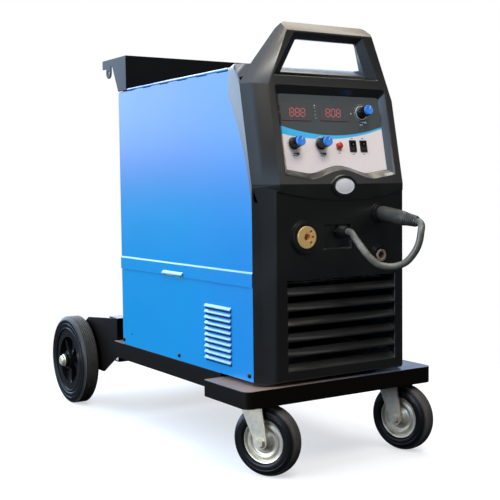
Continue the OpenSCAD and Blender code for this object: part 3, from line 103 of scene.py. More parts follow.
class Body(str, Enum):
    """The moving groups that pieces ride on."""

    MACHINE = "machine"
    DOOR = "spool_door"
    FORK_LEFT = "caster_fork_left"
    FORK_RIGHT = "caster_fork_right"
    CASTER_LEFT = "caster_wheel_left"
    CASTER_RIGHT = "caster_wheel_right"
    REAR_LEFT = "rear_wheel_left"
    REAR_RIGHT = "rear_wheel_right"
    VOLTAGE = "voltage_knob"
    SPEED = "speed_knob"
    INDUCTANCE = "inductance_knob"
    BUTTON = "purge_button"
    ROCKER_LEFT = "rocker_left"
    ROCKER_RIGHT = "rocker_right"
    MAINS_SWITCH = "mains_switch_knob"
    FAN = "fan_rotor"
    HUB = "spool_hub"
    FEED_ROLL = "feed_roll"
    PRESSURE_ARM = "pressure_arm"
    PRESSURE_ROLL = "pressure_roll"
    TENSION_LEVER = "tension_lever"

    @classmethod
    def of(cls, node: str) -> "Body":
        """The body that has a solid's name, or the machine."""
        return next((body for body in cls if body.value == node), cls.MACHINE)


# ------------------------------------------------------------------ shader maths


class Wire:
    """A number on its way through a graph's nodes. Python's operators add Math nodes."""

    def __init__(self, graph: "Graph", socket: Socket) -> None:
        """Wraps the output of a node that carries the number."""
        self.graph = graph
        self.socket = socket

    def math(self, operation: str, *others: "Wire | float") -> "Wire":
        """Adds a Math node on this number and others."""
        node = self.graph.add("ShaderNodeMath", {"operation": operation}, dict(enumerate((self, *others))))
        return Wire(self.graph, node.outputs[0])

    def __add__(self, other: "Wire | float") -> "Wire":
        """Sum."""
        return self.math("ADD", other)

    __radd__ = __add__

    def __sub__(self, other: "Wire | float") -> "Wire":
        """Difference."""
        return self.math("SUBTRACT", other)

    def __rsub__(self, other: float) -> "Wire":
        """Difference from a number."""
        return (self * -1.0).math("ADD", other)

    def __mul__(self, other: "Wire | float") -> "Wire":
        """Product."""
        return self.math("MULTIPLY", other)

    __rmul__ = __mul__

    def __truediv__(self, other: "Wire | float") -> "Wire":
        """Quotient."""
        return self.math("DIVIDE", other)

    def __gt__(self, other: "Wire | float") -> "Wire":
        """1 where this number is the greater."""
        return self.math("GREATER_THAN", other)

    def __lt__(self, other: "Wire | float") -> "Wire":
        """1 where this number is the lesser."""
        return self.math("LESS_THAN", other)

    def __abs__(self) -> "Wire":
        """Size without sign."""
        return self.math("ABSOLUTE")

    def lower(self, other: "Wire | float") -> "Wire":
        """The lesser of two numbers."""
        return self.math("MINIMUM", other)

    def upper(self, other: "Wire | float") -> "Wire":
        """The greater of two numbers."""
        return self.math("MAXIMUM", other)

    def ease(self, start: float, end: float, low: float = 0.0, high: float = 1.0) -> "Wire":
        """Rises smoothly from low at start to high at end."""
        node = self.graph.add("ShaderNodeMapRange", {"interpolation_type": "SMOOTHSTEP"},
                              dict(enumerate((self, start, end, low, high))))
        return Wire(self.graph, node.outputs[0])


class Graph:
    """The nodes of a material or a world."""

    def __init__(self, owner: Material | bpy.types.World, end: str = "ShaderNodeOutputMaterial") -> None:
        """Empties the owner's node tree.

        Args:
            owner: the material or the world.
            end: the type of its output node.
        """
        owner.use_nodes = True
        self.owner = owner
        self.tree = owner.node_tree
        self.tree.nodes.clear()
        self.output = self.add(end)

    def add(self, kind: str, settings: Mapping[str, object] | None = None,
            sockets: Mapping[str | int, object] | None = None) -> bpy.types.Node:
        """Adds one node.

        Args:
            kind: the node's type.
            settings: its own settings, which are set first.
            sockets: values or links for its inputs, by name or number.

        Returns:
            The node.
        """
        node = self.tree.nodes.new(kind)
        for key, value in (settings or {}).items():
            setattr(node, key, value)
        for key, value in (sockets or {}).items():
            target = node.inputs[key]
            if isinstance(value, Wire):
                value = value.socket
            if isinstance(value, Socket):
                self.tree.links.new(value, target)
            elif target.type == "RGBA" and len(value) == 3:
                target.default_value = (*value, 1.0)
            else:
                target.default_value = value
        return node

    def finish(self, shader: bpy.types.Node) -> Material | bpy.types.World:
        """Links the last shader to the output and gives the owner."""
        self.tree.links.new(shader.outputs[0], self.output.inputs[0])
        return self.owner

    def coordinates(self) -> Socket:
        """Object coordinates, in metres."""
        return self.add("ShaderNodeTexCoord").outputs["Object"]

    def axes(self) -> tuple[Wire, Wire, Wire]:
        """Object coordinates as three numbers in the source's millimetres."""
        split = self.add("ShaderNodeSeparateXYZ", None, {0: self.coordinates()})
        x, y, z = (Wire(self, out) for out in split.outputs)
        return x * 1000.0, y * 1000.0 + MIDDLE_Y, z * 1000.0

    def upward(self) -> Wire:
        """The Z part of the piece's own normal: 1 on faces that look up."""
        split = self.add("ShaderNodeSeparateXYZ", None, {0: self.add("ShaderNodeTexCoord").outputs["Normal"]})
        return Wire(self, split.outputs[2])

    def vector(self, operation: str, output: int | str, *inputs: object) -> Socket:
        """One output of a Vector Math node."""
        node = self.add("ShaderNodeVectorMath", {"operation": operation}, dict(enumerate(inputs)))
        return node.outputs[output]

    def noise(self, scale: float, detail: float = 3.0) -> Wire:
        """Noise with so many cells a metre."""
        node = self.add("ShaderNodeTexNoise", None,
                        {"Vector": self.coordinates(), "Scale": scale, "Detail": detail, "Roughness": 0.55})
        return Wire(self, node.outputs[0])

    def blend(self, factor: Wire | float, low: object, high: object) -> Socket:
        """Mixes two colours, or two colour sockets, from low at 0 to high at 1."""
        return self.add("ShaderNodeMix", {"data_type": "RGBA"}, {0: factor, 6: low, 7: high}).outputs[2]

    def bump(self, height: Wire, strength: float, distance: float) -> Socket:
        """A normal from a height in units of distance metres."""
        return self.add("ShaderNodeBump", None,
                        {"Strength": strength, "Distance": distance, "Height": height}).outputs[0]

    def seen(self) -> Wire:
        """1 for what the camera sees itself, and 0 for what light carries."""
        return Wire(self, self.add("ShaderNodeLightPath").outputs["Is Camera Ray"])

    def surface(self, colour: object, roughness: Wire | float, metallic: float = 0.0,
                normal: Socket | None = None, **plain: object) -> Material:
        """Ends the graph in a Principled shader.

        Args:
            colour: a colour or a colour socket.
            roughness: how dull the surface is.
            metallic: how much of it is bare metal.
            normal: the normal's socket.
            plain: other sockets' values, with spaces written as underscores.

        Returns:
            The material.
        """
        sockets = {"Base Color": colour, "Roughness": roughness, "Metallic": metallic}
        if normal is not None:
            sockets["Normal"] = normal
        sockets.update({key.replace("_", " "): value for key, value in plain.items()})
        return self.finish(self.add("ShaderNodeBsdfPrincipled", None, sockets))


# ------------------------------------------------------------------ finishes


@dataclass(frozen=True)
class Finish:
    """A finish of the real machine, and the record's slot that it belongs to."""

    name: str
    slot: str

    def make(self, g: Graph) -> Material:
        """Fills an empty material with the finish's nodes; each finish has its own way.

        Args:
            g: the material's graph.

        Returns:
            The material.
        """
        raise NotImplementedError

    def material(self) -> Material:
        """The finish's material, built once."""
        return bpy.data.materials.get(self.name) or self.make(Graph(bpy.data.materials.new(self.name)))


@dataclass(frozen=True)
class PowderCoat(Finish):
    """Baked powder paint: a fine orange peel, a little haze and a soft gloss."""

    low: Rgb = (0.02, 0.02, 0.02)
    high: Rgb = (0.03, 0.03, 0.03)
    z_low: float = 430.0
    z_high: float = 570.0
    rough: float = 0.34
    peel: float = 0.06
    coat: float = 0.0
    shine: float = 0.5

    def shade(self, g: Graph) -> Socket:
        """The paint's colour, before haze."""
        return g.blend(g.axes()[2].ease(self.z_low, self.z_high), self.low, self.high)

    def make(self, g: Graph) -> Material:
        """Builds the paint, which shifts in soft clouds."""
        haze = tuple(min(1.0, c * 1.3 + 0.002) for c in self.high)
        colour = g.blend((g.noise(5.0, 2.0) - 0.5) * 0.2 + 0.05, self.shade(g), haze)
        peel = g.noise(620.0, 2.0) * 0.7 + g.noise(2100.0, 1.0) * 0.3
        return g.surface(colour, g.noise(14.0) * 0.08 + (self.rough - 0.04),
                         normal=g.bump(peel, self.peel, 0.0004), Coat_Weight=self.coat, Coat_Roughness=0.12,
                         Specular_IOR_Level=self.shine)


@dataclass(frozen=True)
class PanelCoat(PowderCoat):
    """Powder paint on the case's panels, darker towards the front as painted shade, with painted shade on
    their inner sides and in the gaps under the louvres.
    """

    # Painted shade: the colour the panels take on towards the front.
    front: Rgb = (0.03, 0.25, 0.85)
    # Painted shade: the dark azure put on the inner sides and in the louvre gaps.
    painted_shade: Rgb = (0.003, 0.016, 0.04)
    skin: float = 0.8
    roof_inside: float = 696.9

    def shade(self, g: Graph) -> Socket:
        """The outer colour, whose shift with height is a painted sky reflection and which darkens towards the
        front as painted shade, and painted shade behind the sheet's outer side and in the louvre gaps.
        """
        x, y, z = g.axes()
        # Painted shade: darker towards the front.
        outer = g.blend(y.ease(330.0, 40.0) * 0.6, super().shade(g), self.front)
        # Painted shade: the sheet's inner sides are darkened as if in the closed case's shadow.
        inside = (abs(x) < CASE_SIDE - self.skin) * (z < self.roof_inside)
        row = ((LOUVRE_TOP - z) / LOUVRE_PITCH).math("FRACT")
        # Painted shade: the lower part of each louvre row, under its hood, is darkened.
        louvre_shade = (row > 0.60) * (abs(x) < CASE_SIDE + self.skin) * (y > LOUVRE_Y[0]) * (y < LOUVRE_Y[1])
        louvre_shade = louvre_shade * (z < LOUVRE_TOP) * (z > LOUVRE_TOP - LOUVRE_PITCH * LOUVRES) * (x < 0.0)
        return g.blend(inside.upper(louvre_shade), outer, self.painted_shade)


@dataclass(frozen=True)
class DustAndLightCoat(PowderCoat):
    """Powder paint whose upper faces lighten, partly with a film of workshop dust and partly with painted
    light from above, warm on the left and cool on the right.
    """

    # Painted light: the warm tone on the left and the cool tone on the right stand for light that falls
    # differently on each side.
    warm_dust_and_light: Rgb = (0.30, 0.20, 0.155)
    cool_dust_and_light: Rgb = (0.10, 0.12, 0.17)

    def shade(self, g: Graph) -> Socket:
        """The paint's colour, lighter on what looks up with dust and painted light."""
        # Painted light: the tint turns from warm to cool across the machine.
        dust = g.blend(g.axes()[0].ease(-210.0, 120.0), self.warm_dust_and_light, self.cool_dust_and_light)
        # Partly dust, partly painted light: faces that look up get lighter.
        dust_and_light_amount = g.upward().ease(0.72, 0.97) * (g.noise(26.0, 4.0) * 0.7 + 0.45)
        return g.blend(dust_and_light_amount.lower(1.0), super().shade(g), dust)


@dataclass(frozen=True)
class Moulded(Finish):
    """Moulded plastic with a spark-eroded grain."""

    colour: Rgb = (0.012, 0.012, 0.013)
    rough: float = 0.42
    grain: float = 1500.0
    dust: float = 0.012
    coat: float = 0.0
    shine: float = 0.5

    def make(self, g: Graph) -> Material:
        """Builds the plastic with its grain and a trace of dust."""
        dust = g.noise(9.0, 4.0).ease(0.45, 0.8)
        worn = tuple(c + self.dust for c in self.colour)
        rough = dust * 0.08 + g.noise(60.0) * 0.06 + (self.rough - 0.03)
        return g.surface(g.blend(dust, self.colour, worn), rough,
                         normal=g.bump(g.noise(self.grain, 2.0), 0.10, 0.0003), Coat_Weight=self.coat,
                         Coat_Roughness=0.24, Specular_IOR_Level=self.shine)


@dataclass(frozen=True)
class Plated(Finish):
    """Zinc plate with faint spangle, from cool to straw-coloured."""

    cool: Rgb = (0.50, 0.52, 0.53)
    warm: Rgb = (0.66, 0.62, 0.52)
    rough: float = 0.34

    def make(self, g: Graph) -> Material:
        """Builds the plate from clouds and small crystals."""
        cell = g.add("ShaderNodeTexVoronoi", None, {"Vector": g.coordinates(), "Scale": 150.0})
        tone = g.noise(22.0) * 0.8 + Wire(g, cell.outputs["Distance"]) * 0.25
        colour = g.blend(tone.ease(0.3, 0.75), self.cool, self.warm)
        return g.surface(colour, tone * 0.18 + (self.rough - 0.06),
                         metallic=0.65, normal=g.bump(g.noise(420.0), 0.10, 0.0002))


@dataclass(frozen=True)
class Turned(Finish):
    """Metal turned on a lathe, with fine rings round an axis along Y."""

    colour: Rgb = (0.80, 0.53, 0.18)
    dark: Rgb = (0.52, 0.30, 0.09)
    centre: Point = (0.0, 0.0, 0.0)
    rough: float = 0.30
    metal: float = 0.4

    def make(self, g: Graph) -> Material:
        """Builds the metal with rings and tarnish."""
        x, _, z = g.axes()
        dx, dz = x - self.centre[0], z - self.centre[2]
        rings = ((dx * dx + dz * dz).math("SQRT") * 9.0).math("SINE") * 0.5 + g.noise(300.0) * 0.5
        tarnish = g.noise(70.0).ease(0.50, 0.85)
        return g.surface(g.blend(tarnish, self.colour, self.dark), tarnish * 0.10 + self.rough,
                         metallic=self.metal, normal=g.bump(rings, 0.06, 0.0002))


@dataclass(frozen=True)
class TyreRubber(Finish):
    """Tyre rubber: glossy flanks, and a tread that is scuffed grey."""

    centre: Point = (0.0, 0.0, 0.0)
    axis: Point = (1.0, 0.0, 0.0)
    tread_radius: float = 60.0
    black: Rgb = (0.0055, 0.0055, 0.006)
    scuffed: Rgb = (0.085, 0.078, 0.072)

    def make(self, g: Graph) -> Material:
        """Builds the rubber from the distance to the wheel's axis."""
        offset = g.vector("SUBTRACT", 0, g.coordinates(), place(*self.centre))
        swept = g.vector("CROSS_PRODUCT", 0, offset, self.axis)
        radius = Wire(g, g.vector("LENGTH", "Value", swept)) * 1000.0
        tread = radius.ease(self.tread_radius - 5.0, self.tread_radius - 0.5)
        tread = tread * (g.noise(38.0, 4.0) * 0.9 + 0.35)
        return g.surface(g.blend(tread.lower(1.0), self.black, self.scuffed), tread * 0.28 + 0.30,
                         normal=g.bump(g.noise(900.0), 0.16, 0.0003), Specular_IOR_Level=0.2)


@dataclass(frozen=True)
class Rubber(Finish):
    """Smooth rubber or vinyl, as on cables and pads."""

    colour: Rgb = (0.03, 0.03, 0.031)
    rough: float = 0.42

    def make(self, g: Graph) -> Material:
        """Builds the rubber with a slight bloom."""
        bloom = g.noise(30.0, 4.0).ease(0.4, 0.8)
        pale = tuple(c * 1.9 + 0.01 for c in self.colour)
        return g.surface(g.blend(bloom, self.colour, pale), bloom * 0.15 + self.rough,
                         normal=g.bump(g.noise(1300.0, 2.0), 0.10, 0.0003))


@dataclass(frozen=True)
class Gloss(Finish):
    """Polished plastic or enamel, with a faint mould flow."""

    colour: Rgb = (0.5, 0.05, 0.03)
    rough: float = 0.2

    def make(self, g: Graph) -> Material:
        """Builds the plastic."""
        flow = g.noise(45.0)
        deep, clear = (tuple(min(1.0, c * k) for c in self.colour) for k in (0.72, 1.12))
        return g.surface(g.blend(flow, deep, clear), flow * 0.08 + self.rough,
                         normal=g.bump(g.noise(240.0, 2.0), 0.04, 0.0003))


@dataclass(frozen=True)
class Lamp(Finish):
    """A small lit element."""

    colour: Rgb = (1.0, 0.05, 0.04)
    strength: float = 1.0

    def make(self, g: Graph) -> Material:
        """Builds a plastic that glows."""
        tint = g.blend(g.noise(900.0, 1.0) * 0.2 + 0.9, (0.0, 0.0, 0.0), self.colour)
        return g.surface(tint, 0.4, Emission_Color=tint, Emission_Strength=self.strength)


@dataclass(frozen=True)
class Laminate(Finish):
    """Stacked core sheets, edge on, or a wound coil."""

    colour: Rgb = (0.05, 0.04, 0.035)
    line: Rgb = (0.16, 0.13, 0.11)
    pitch: float = 1.2

    def make(self, g: Graph) -> Material:
        """Builds the stripes of the stack."""
        stripe = (g.axes()[1] * (2.0 * math.pi / self.pitch)).math("SINE") * 0.5 + 0.5
        return g.surface(g.blend(stripe * g.noise(80.0), self.colour, self.line), 0.5, metallic=0.6,
                         normal=g.bump(stripe, 0.3, 0.0003))


@dataclass(frozen=True)
class PrintedFilm(Finish):
    """The control plate's film: a dark field above a pale one, parted by an azure arc."""

    dark: Rgb = srgb(70, 76, 78)
    pale: Rgb = srgb(250, 240, 240)
    pale_cloud: Rgb = srgb(232, 220, 224)
    arc: Rgb = srgb(66, 196, 255)
    outline: Rgb = srgb(122, 58, 56)
    upper_arc: Profile = ((-111.0, 103.6), (4.0, 88.4), (108.0, 105.0))
    lower_arc: Profile = ((-111.0, 89.5), (4.0, 82.3), (108.0, 101.5))
    windows: Profile = ((-77.0, 127.5), (6.0, 128.5))
    window_half: tuple[float, float] = (32.0, 14.5)

    @staticmethod
    def arc_height(x: Wire, through: Profile) -> Wire:
        """A parabola through three points.

        Args:
            x: the place across the plate.
            through: three places, as across and up.

        Returns:
            The parabola's height at x.
        """
        (x0, v0), (x1, v1), (x2, v2) = through
        a = ((v2 - v0) / (x2 - x0) - (v1 - v0) / (x1 - x0)) / (x2 - x1)
        b = (v1 - v0) / (x1 - x0) - a * (x0 + x1)
        return x * x * a + x * b + (v0 - a * x0 * x0 - b * x0)

    def make(self, g: Graph) -> Material:
        """Builds the print from places on the leaning plate."""
        x, y, z = g.axes()
        v = y * math.sin(LEAN) + (z - LEAN_Z) * math.cos(LEAN)
        above = (v - self.arc_height(x, self.upper_arc)).ease(-0.25, 0.25)
        below = (self.arc_height(x, self.lower_arc) - v).ease(-0.25, 0.25)
        haze = g.noise(16.0)
        colour = g.blend(above, self.arc, g.blend(haze, self.dark, tuple(c * 1.25 for c in self.dark)))
        colour = g.blend(below, colour, g.blend(haze * 0.3, self.pale, self.pale_cloud))
        for window_x, window_v in self.windows:
            reach = (abs(x - window_x) - self.window_half[0]).upper(abs(v - window_v) - self.window_half[1])
            colour = g.blend(1.0 - abs(reach + 0.5).ease(0.2, 0.6), colour, self.outline)
        return g.surface(colour, haze * 0.08 + 0.30, normal=g.bump(g.noise(1800.0, 1.0), 0.05, 0.0002))


@dataclass(frozen=True)
class BadgeCoat(Finish):
    """The bare badge: a silver field inside a dark rim, with painted light running from bright at the top to
    darker at the bottom.
    """

    field: Rgb = (0.95, 0.96, 1.0)
    # Painted shade: the silver's darker colour towards the badge's bottom.
    shade: Rgb = (0.74, 0.76, 0.82)
    rim: Rgb = (0.02, 0.02, 0.022)

    def make(self, g: Graph) -> Material:
        """Builds the field and the rim from the place within the oval."""
        x, _, z = g.axes()
        across, up = x / BADGE_HALF[0], (z - BADGE_Z) / BADGE_HALF[1]
        reach = (across * across + up * up).math("SQRT")
        # Painted light: the bright field at the top turns to the darker shade at the bottom.
        silver = g.blend(up * -0.5 + 0.5 + (g.noise(400.0, 1.0) - 0.5) * 0.3, self.field, self.shade)
        return g.surface(g.blend(reach.ease(0.885, 0.915), silver, self.rim), 0.3,
                         normal=g.bump(g.noise(260.0, 2.0), 0.03, 0.0003), Coat_Weight=0.6,
                         Coat_Roughness=0.06)


class Coats:
    """Every finish of the machine."""

    # Painted reflection: the shift from low to high with height stands for the sky seen in the panels, and
    # front is painted shade.
    AZURE = PanelCoat("azure_powder_coat", "azure_paint", low=srgb(8, 126, 178), high=srgb(36, 98, 162),
                      rough=0.25, peel=0.04, coat=0.2, front=srgb(28, 112, 176))
    BLACK = DustAndLightCoat("black_powder_coat", "black_paint", low=(0.0042, 0.0033, 0.0024),
                      high=(0.0030, 0.0031, 0.0033), rough=0.34, peel=0.10, shine=0.15)
    BEZEL = Moulded("moulded_front_plastic", "black_plastic", colour=(0.0012, 0.0013, 0.0011), rough=0.36,
                    dust=0.0012, coat=1.0, shine=0.7)
    TRIM = Moulded("moulded_trim_plastic", "black_plastic", colour=(0.007, 0.007, 0.0075), rough=0.34,
                   grain=2400.0, dust=0.005)
    WHEEL = Moulded("moulded_wheel_plastic", "wheel_plastic", colour=(0.006, 0.006, 0.0065), rough=0.24,
                    grain=900.0, dust=0.004)
    ZINC = Plated("zinc_plate", "zinc", cool=(0.52, 0.49, 0.42), warm=(0.72, 0.63, 0.48))
    SHEET_ZINC = Plated("galvanised_sheet", "zinc", cool=(0.42, 0.44, 0.45), warm=(0.55, 0.55, 0.52),
                        rough=0.42)
    ALLOY = Plated("extruded_alloy", "alloy", cool=(0.48, 0.49, 0.50), warm=(0.58, 0.58, 0.57), rough=0.40)
    RING = Plated("bright_ring", "zinc", cool=(0.72, 0.73, 0.74), warm=(0.82, 0.82, 0.80), rough=0.30)
    TORCH_BRASS = Turned("torch_socket_brass", "brass", centre=(-82.0, 0.0, 410.0), colour=(1.0, 0.66, 0.27),
                         dark=(0.80, 0.45, 0.15))
    SOCKET_BRASS = Turned("current_socket_brass", "brass", centre=(83.0, 0.0, 372.0),
                          colour=(0.52, 0.40, 0.34), dark=(0.30, 0.18, 0.13))
    GAS_BRASS = Turned("gas_spigot_brass", "brass", centre=(-110.0, 0.0, 595.5))
    CABLE = Rubber("cable_sheath", "rubber", colour=(0.080, 0.076, 0.062), rough=0.34)
    PLUG = Rubber("plug_rubber", "rubber", colour=(0.034, 0.033, 0.028), rough=0.34)
    PAD = Rubber("pad_rubber", "rubber", colour=(0.012, 0.012, 0.012), rough=0.6)
    KNOB = Gloss("knob_black", "gloss_black", colour=(0.006, 0.006, 0.007), rough=0.16)
    KNOB_CAP = Gloss("knob_cap_azure", "gloss_black", colour=srgb(62, 142, 242), rough=0.26)
    MARK = Gloss("white_marking", "gloss_black", colour=(0.80, 0.82, 0.84), rough=0.35)
    PRINT = Gloss("dark_marking", "panel_film", colour=(0.02, 0.022, 0.025), rough=0.35)
    GREY_PRINT = Gloss("grey_marking", "panel_film", colour=(0.36, 0.38, 0.38), rough=0.35)
    RED = Gloss("red_button", "red_plastic", colour=(0.66, 0.045, 0.03), rough=0.18)
    BOARD = Gloss("circuit_board", "circuit", colour=(0.015, 0.12, 0.05), rough=0.34)
    SILVER = BadgeCoat("badge_silver_dome", "badge_silver")
    CORE = Laminate("core_and_winding", "copper")
    ARM = PowderCoat("red_casting_paint", "arm_red", low=(0.42, 0.035, 0.022), high=(0.46, 0.05, 0.03),
                     rough=0.36)
    FILM = PrintedFilm("printed_control_film", "panel_film")
    WINDOW = PrintedFilm("display_window_print", "display")
    DIGIT = Lamp("display_digits", "display", colour=srgb(200, 96, 104), strength=0.22)


# ------------------------------------------------------------------ mesh making


def new_object(name: str, mesh: bpy.types.Mesh) -> Object:
    """Links a new object for a mesh."""
    obj = bpy.data.objects.new(name, mesh)
    bpy.context.scene.collection.objects.link(obj)
    return obj


def from_bmesh(name: str, bm: bmesh.types.BMesh, at: Matrix = HERE) -> Object:
    """Turns a bmesh into a linked object at a place, and frees it.

    Args:
        name: the new object's name.
        bm: the bmesh, in metres.
        at: the place of the shape, in the row frame.

    Returns:
        The object.
    """
    mesh = bpy.data.meshes.new(name)
    bm.to_mesh(mesh)
    bm.free()
    mesh.transform(at)
    return new_object(name, mesh)


def apply_modifiers(obj: Object) -> Object:
    """Turns a mesh object with its modifiers, at the origin, into a plain mesh.

    Args:
        obj: the object.

    Returns:
        The same object without modifiers.
    """
    bpy.context.view_layer.update()
    graph = bpy.context.evaluated_depsgraph_get()
    mesh = bpy.data.meshes.new_from_object(obj.evaluated_get(graph), depsgraph=graph)
    obj.modifiers.clear()
    obj.data = mesh
    return obj


def shade(obj: Object, sharp: Callable[[Edge], bool]) -> Object:
    """Shades a mesh smoothly, except over the edges that a test calls sharp.

    Args:
        obj: the object.
        sharp: tells of an edge whether it is sharp.

    Returns:
        The object.
    """
    mesh = obj.data
    mesh.polygons.foreach_set("use_smooth", [True] * len(mesh.polygons))
    bm = bmesh.new()
    bm.from_mesh(mesh)
    for edge in bm.edges:
        edge.smooth = not sharp(edge)
    bm.to_mesh(mesh)
    bm.free()
    return obj


def turn_angle(edge: Edge) -> float:
    """The angle between an edge's two faces in degrees, and 180 where there aren't two."""
    return math.degrees(edge.calc_face_angle(0.0)) if len(edge.link_faces) == 2 else 180.0


def smooth(obj: Object) -> Object:
    """Shades a mesh smoothly and keeps its clear edges."""
    return shade(obj, lambda edge: turn_angle(edge) >= 32.0)


def dress(obj: Object, finish: Finish, *nodes: str, body: Body = Body.MACHINE) -> Object:
    """Gives a finished piece its material and body, and hides the solids it stands for.

    Args:
        obj: the piece, in place.
        finish: its finish.
        nodes: the solids that it stands for.
        body: the group it rides on.

    Returns:
        The piece.
    """
    obj.data.materials.clear()
    obj.data.materials.append(finish.material())
    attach(obj, body.value)
    if nodes:
        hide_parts(*nodes)
    LOG.info("%s: %d faces, %s", obj.name, len(obj.data.polygons), finish.name)
    return obj


def skin(name: str, rings: Sequence[Sequence[Vector]], at: Matrix = HERE, closed: bool = False) -> Object:
    """Spans faces between rings of points.

    Args:
        name: the new object's name.
        rings: rings of equally many points in metres, where one point alone is a pole.
        at: the place of the shape, in the row frame.
        closed: whether the last ring joins the first. Otherwise a flat face ends the shape.

    Returns:
        The object.
    """
    bm = bmesh.new()
    made = [[bm.verts.new(point) for point in ring] for ring in rings]
    for first, second in zip(made, made[1:] + made[:1] if closed else made[1:]):
        for k in range(max(len(first), len(second))):
            loop = (first[k % len(first)], first[(k + 1) % len(first)], second[(k + 1) % len(second)],
                    second[k % len(second)])
            bm.faces.new(list(dict.fromkeys(loop)))
    for end in () if closed else (made[0], made[-1]):
        if len(end) > 2:
            bm.faces.new(end)
    bmesh.ops.recalc_face_normals(bm, faces=bm.faces)
    return smooth(from_bmesh(name, bm, at))


def turned(name: str, profile: Profile, at: Matrix = HERE, steps: int = 64, closed: bool = False) -> Object:
    """Turns a profile round the Z axis of a place.

    Args:
        name: the new object's name.
        profile: points as radius and height; a radius of 0 is a pole.
        at: the place of the axis, in the row frame.
        steps: faces round the axis.
        closed: whether the profile's last point joins its first.

    Returns:
        The object.
    """
    rings = [[Vector((radius * math.cos(a), radius * math.sin(a), height)) / 1000.0
              for a in (angles(steps) if radius else [0.0])] for radius, height in profile]
    return skin(name, rings, at, closed)


def mirrored(half: Profile, shared: int = 0) -> Profile:
    """A profile from the half above its middle; so many of its first points lie on the middle."""
    return [*half, *((radius, -height) for radius, height in reversed(half[shared:]))]


def slab(name: str, outline: Profile, thickness: float, at: Matrix = HERE) -> Object:
    """Extrudes an outline, given anticlockwise, along the Z axis of a place."""
    return skin(name, [[Vector((x, y, z)) / 1000.0 for x, y in outline] for z in (0.0, thickness)], at)


def bar(name: str, x: float, y: float, thickness: float, at: Matrix = HERE) -> Object:
    """A low block that reaches x and y to each side of a place."""
    return slab(name, [(-x, -y), (x, -y), (x, y), (-x, y)], thickness, at)


def joined(name: str, parts: Iterable[Object]) -> Object:
    """Joins plain meshes into one object, in their order.

    Args:
        name: the new object's name.
        parts: the objects, which are removed.

    Returns:
        The joined object.
    """
    bm = bmesh.new()
    for part in parts:
        bm.from_mesh(part.data)
        bpy.data.objects.remove(part)
    return smooth(from_bmesh(name, bm))


def facing(origin: Vector, out: Point, up: Point = (0.0, 0.0, 1.0)) -> Matrix:
    """A place whose Z axis points out and whose Y axis points up.

    Args:
        origin: the place's origin in the row frame.
        out: the direction of its Z axis.
        up: a direction on the side of its Y axis.

    Returns:
        The place.
    """
    z = Vector(out).normalized()
    x = Vector(up).cross(z).normalized()
    return Matrix.Translation(origin) @ Matrix((x, z.cross(x), z)).transposed().to_4x4()


def on_plate(x: float, v: float, out: float = 0.0) -> Matrix:
    """A place on the control plate.

    Args:
        x: millimetres across.
        v: millimetres up the lean.
        out: millimetres in front of the plate.

    Returns:
        A place whose Z axis points out of the plate.
    """
    depth = PLATE_SET_BACK - out
    cos, sin = math.cos(LEAN), math.sin(LEAN)
    return facing(place(x, depth * cos + v * sin, LEAN_Z - depth * sin + v * cos), (0.0, -cos, sin))


@dataclass(frozen=True)
class RoundedCopy:
    """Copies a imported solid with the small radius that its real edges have."""

    radius: float = 0.6
    segments: int = 3
    angle: float = 28.0
    roomy: bool = False

    @staticmethod
    def room(edge: Edge) -> float:
        """How far an edge can be set back, in millimetres, before it meets its neighbours.

        Args:
            edge: the edge.

        Returns:
            The least width beside it.
        """
        least = 1e3
        for vert in edge.verts:
            along = (edge.other_vert(vert).co - vert.co).normalized()
            for face in edge.link_faces:
                for other in face.edges:
                    if other is not edge and vert in other.verts:
                        ray = other.other_vert(vert).co - vert.co
                        across = (ray - along * ray.dot(along)).length
                        if across > 0.35 * ray.length:
                            least = min(least, across * 1000.0)
        return least

    def weigh(self, bm: bmesh.types.BMesh) -> None:
        """Marks the sharp edges that have room for the radius and end in plain corners."""
        layer = bm.edges.layers.float.new("bevel_weight_edge")
        sharp = {edge for edge in bm.edges if len(edge.link_faces) == 2 and turn_angle(edge) > self.angle}
        for edge in sharp:
            plain = all(len(sharp.intersection(vert.link_edges)) <= 3 and len(vert.link_edges) <= 5
                        for vert in edge.verts)
            edge[layer] = float(plain and self.room(edge) * 0.3 > self.radius)

    @staticmethod
    def crisp(edge: Edge) -> bool:
        """Whether an edge stays crisp: a steep one, or a slight one between two broad flat faces.

        Args:
            edge: the edge.

        Returns:
            True for a crisp edge.
        """
        slight, steep, broad = 7.0, 46.0, 0.010
        angle = turn_angle(edge)
        if not slight <= angle < steep:
            return angle >= steep
        return all(face.calc_area() / max(*(e.calc_length() for e in face.edges), 1e-9) > broad
                   for face in edge.link_faces)

    def make(self, node: str, finish: Finish) -> Object:
        """Builds the copy and lets it stand for the solid.

        Args:
            node: the solid's name. It rides on the body of its name, or on the machine.
            finish: its finish.

        Returns:
            The new piece.
        """
        bm = bmesh.new()
        bm.from_mesh(bpy.data.objects[node].data)
        bmesh.ops.remove_doubles(bm, verts=bm.verts, dist=2e-6)
        bmesh.ops.dissolve_limit(bm, angle_limit=math.radians(0.6), verts=bm.verts, edges=bm.edges)
        if self.roomy:
            self.weigh(bm)
        obj = from_bmesh(node + "_finished", bm)
        bevel = obj.modifiers.new("edges", "BEVEL")
        bevel.width = self.radius / 1000.0
        bevel.segments = self.segments
        bevel.limit_method = "WEIGHT" if self.roomy else "ANGLE"
        bevel.angle_limit = math.radians(self.angle)
        bevel.use_clamp_overlap = not self.roomy
        shade(apply_modifiers(obj), self.crisp)
        obj.modifiers.new("normals", "WEIGHTED_NORMAL").keep_sharp = True
        return dress(apply_modifiers(obj), finish, node, body=Body.of(node))


def round_all(*rows: tuple[str, Finish, float, int]) -> None:
    """Builds rounded copies from rows of solid, finish, radius and steps of the rounding."""
    for node, finish, radius, segments in rows:
        RoundedCopy(radius, segments).make(node, finish)


# ------------------------------------------------------------------ repeated shapes


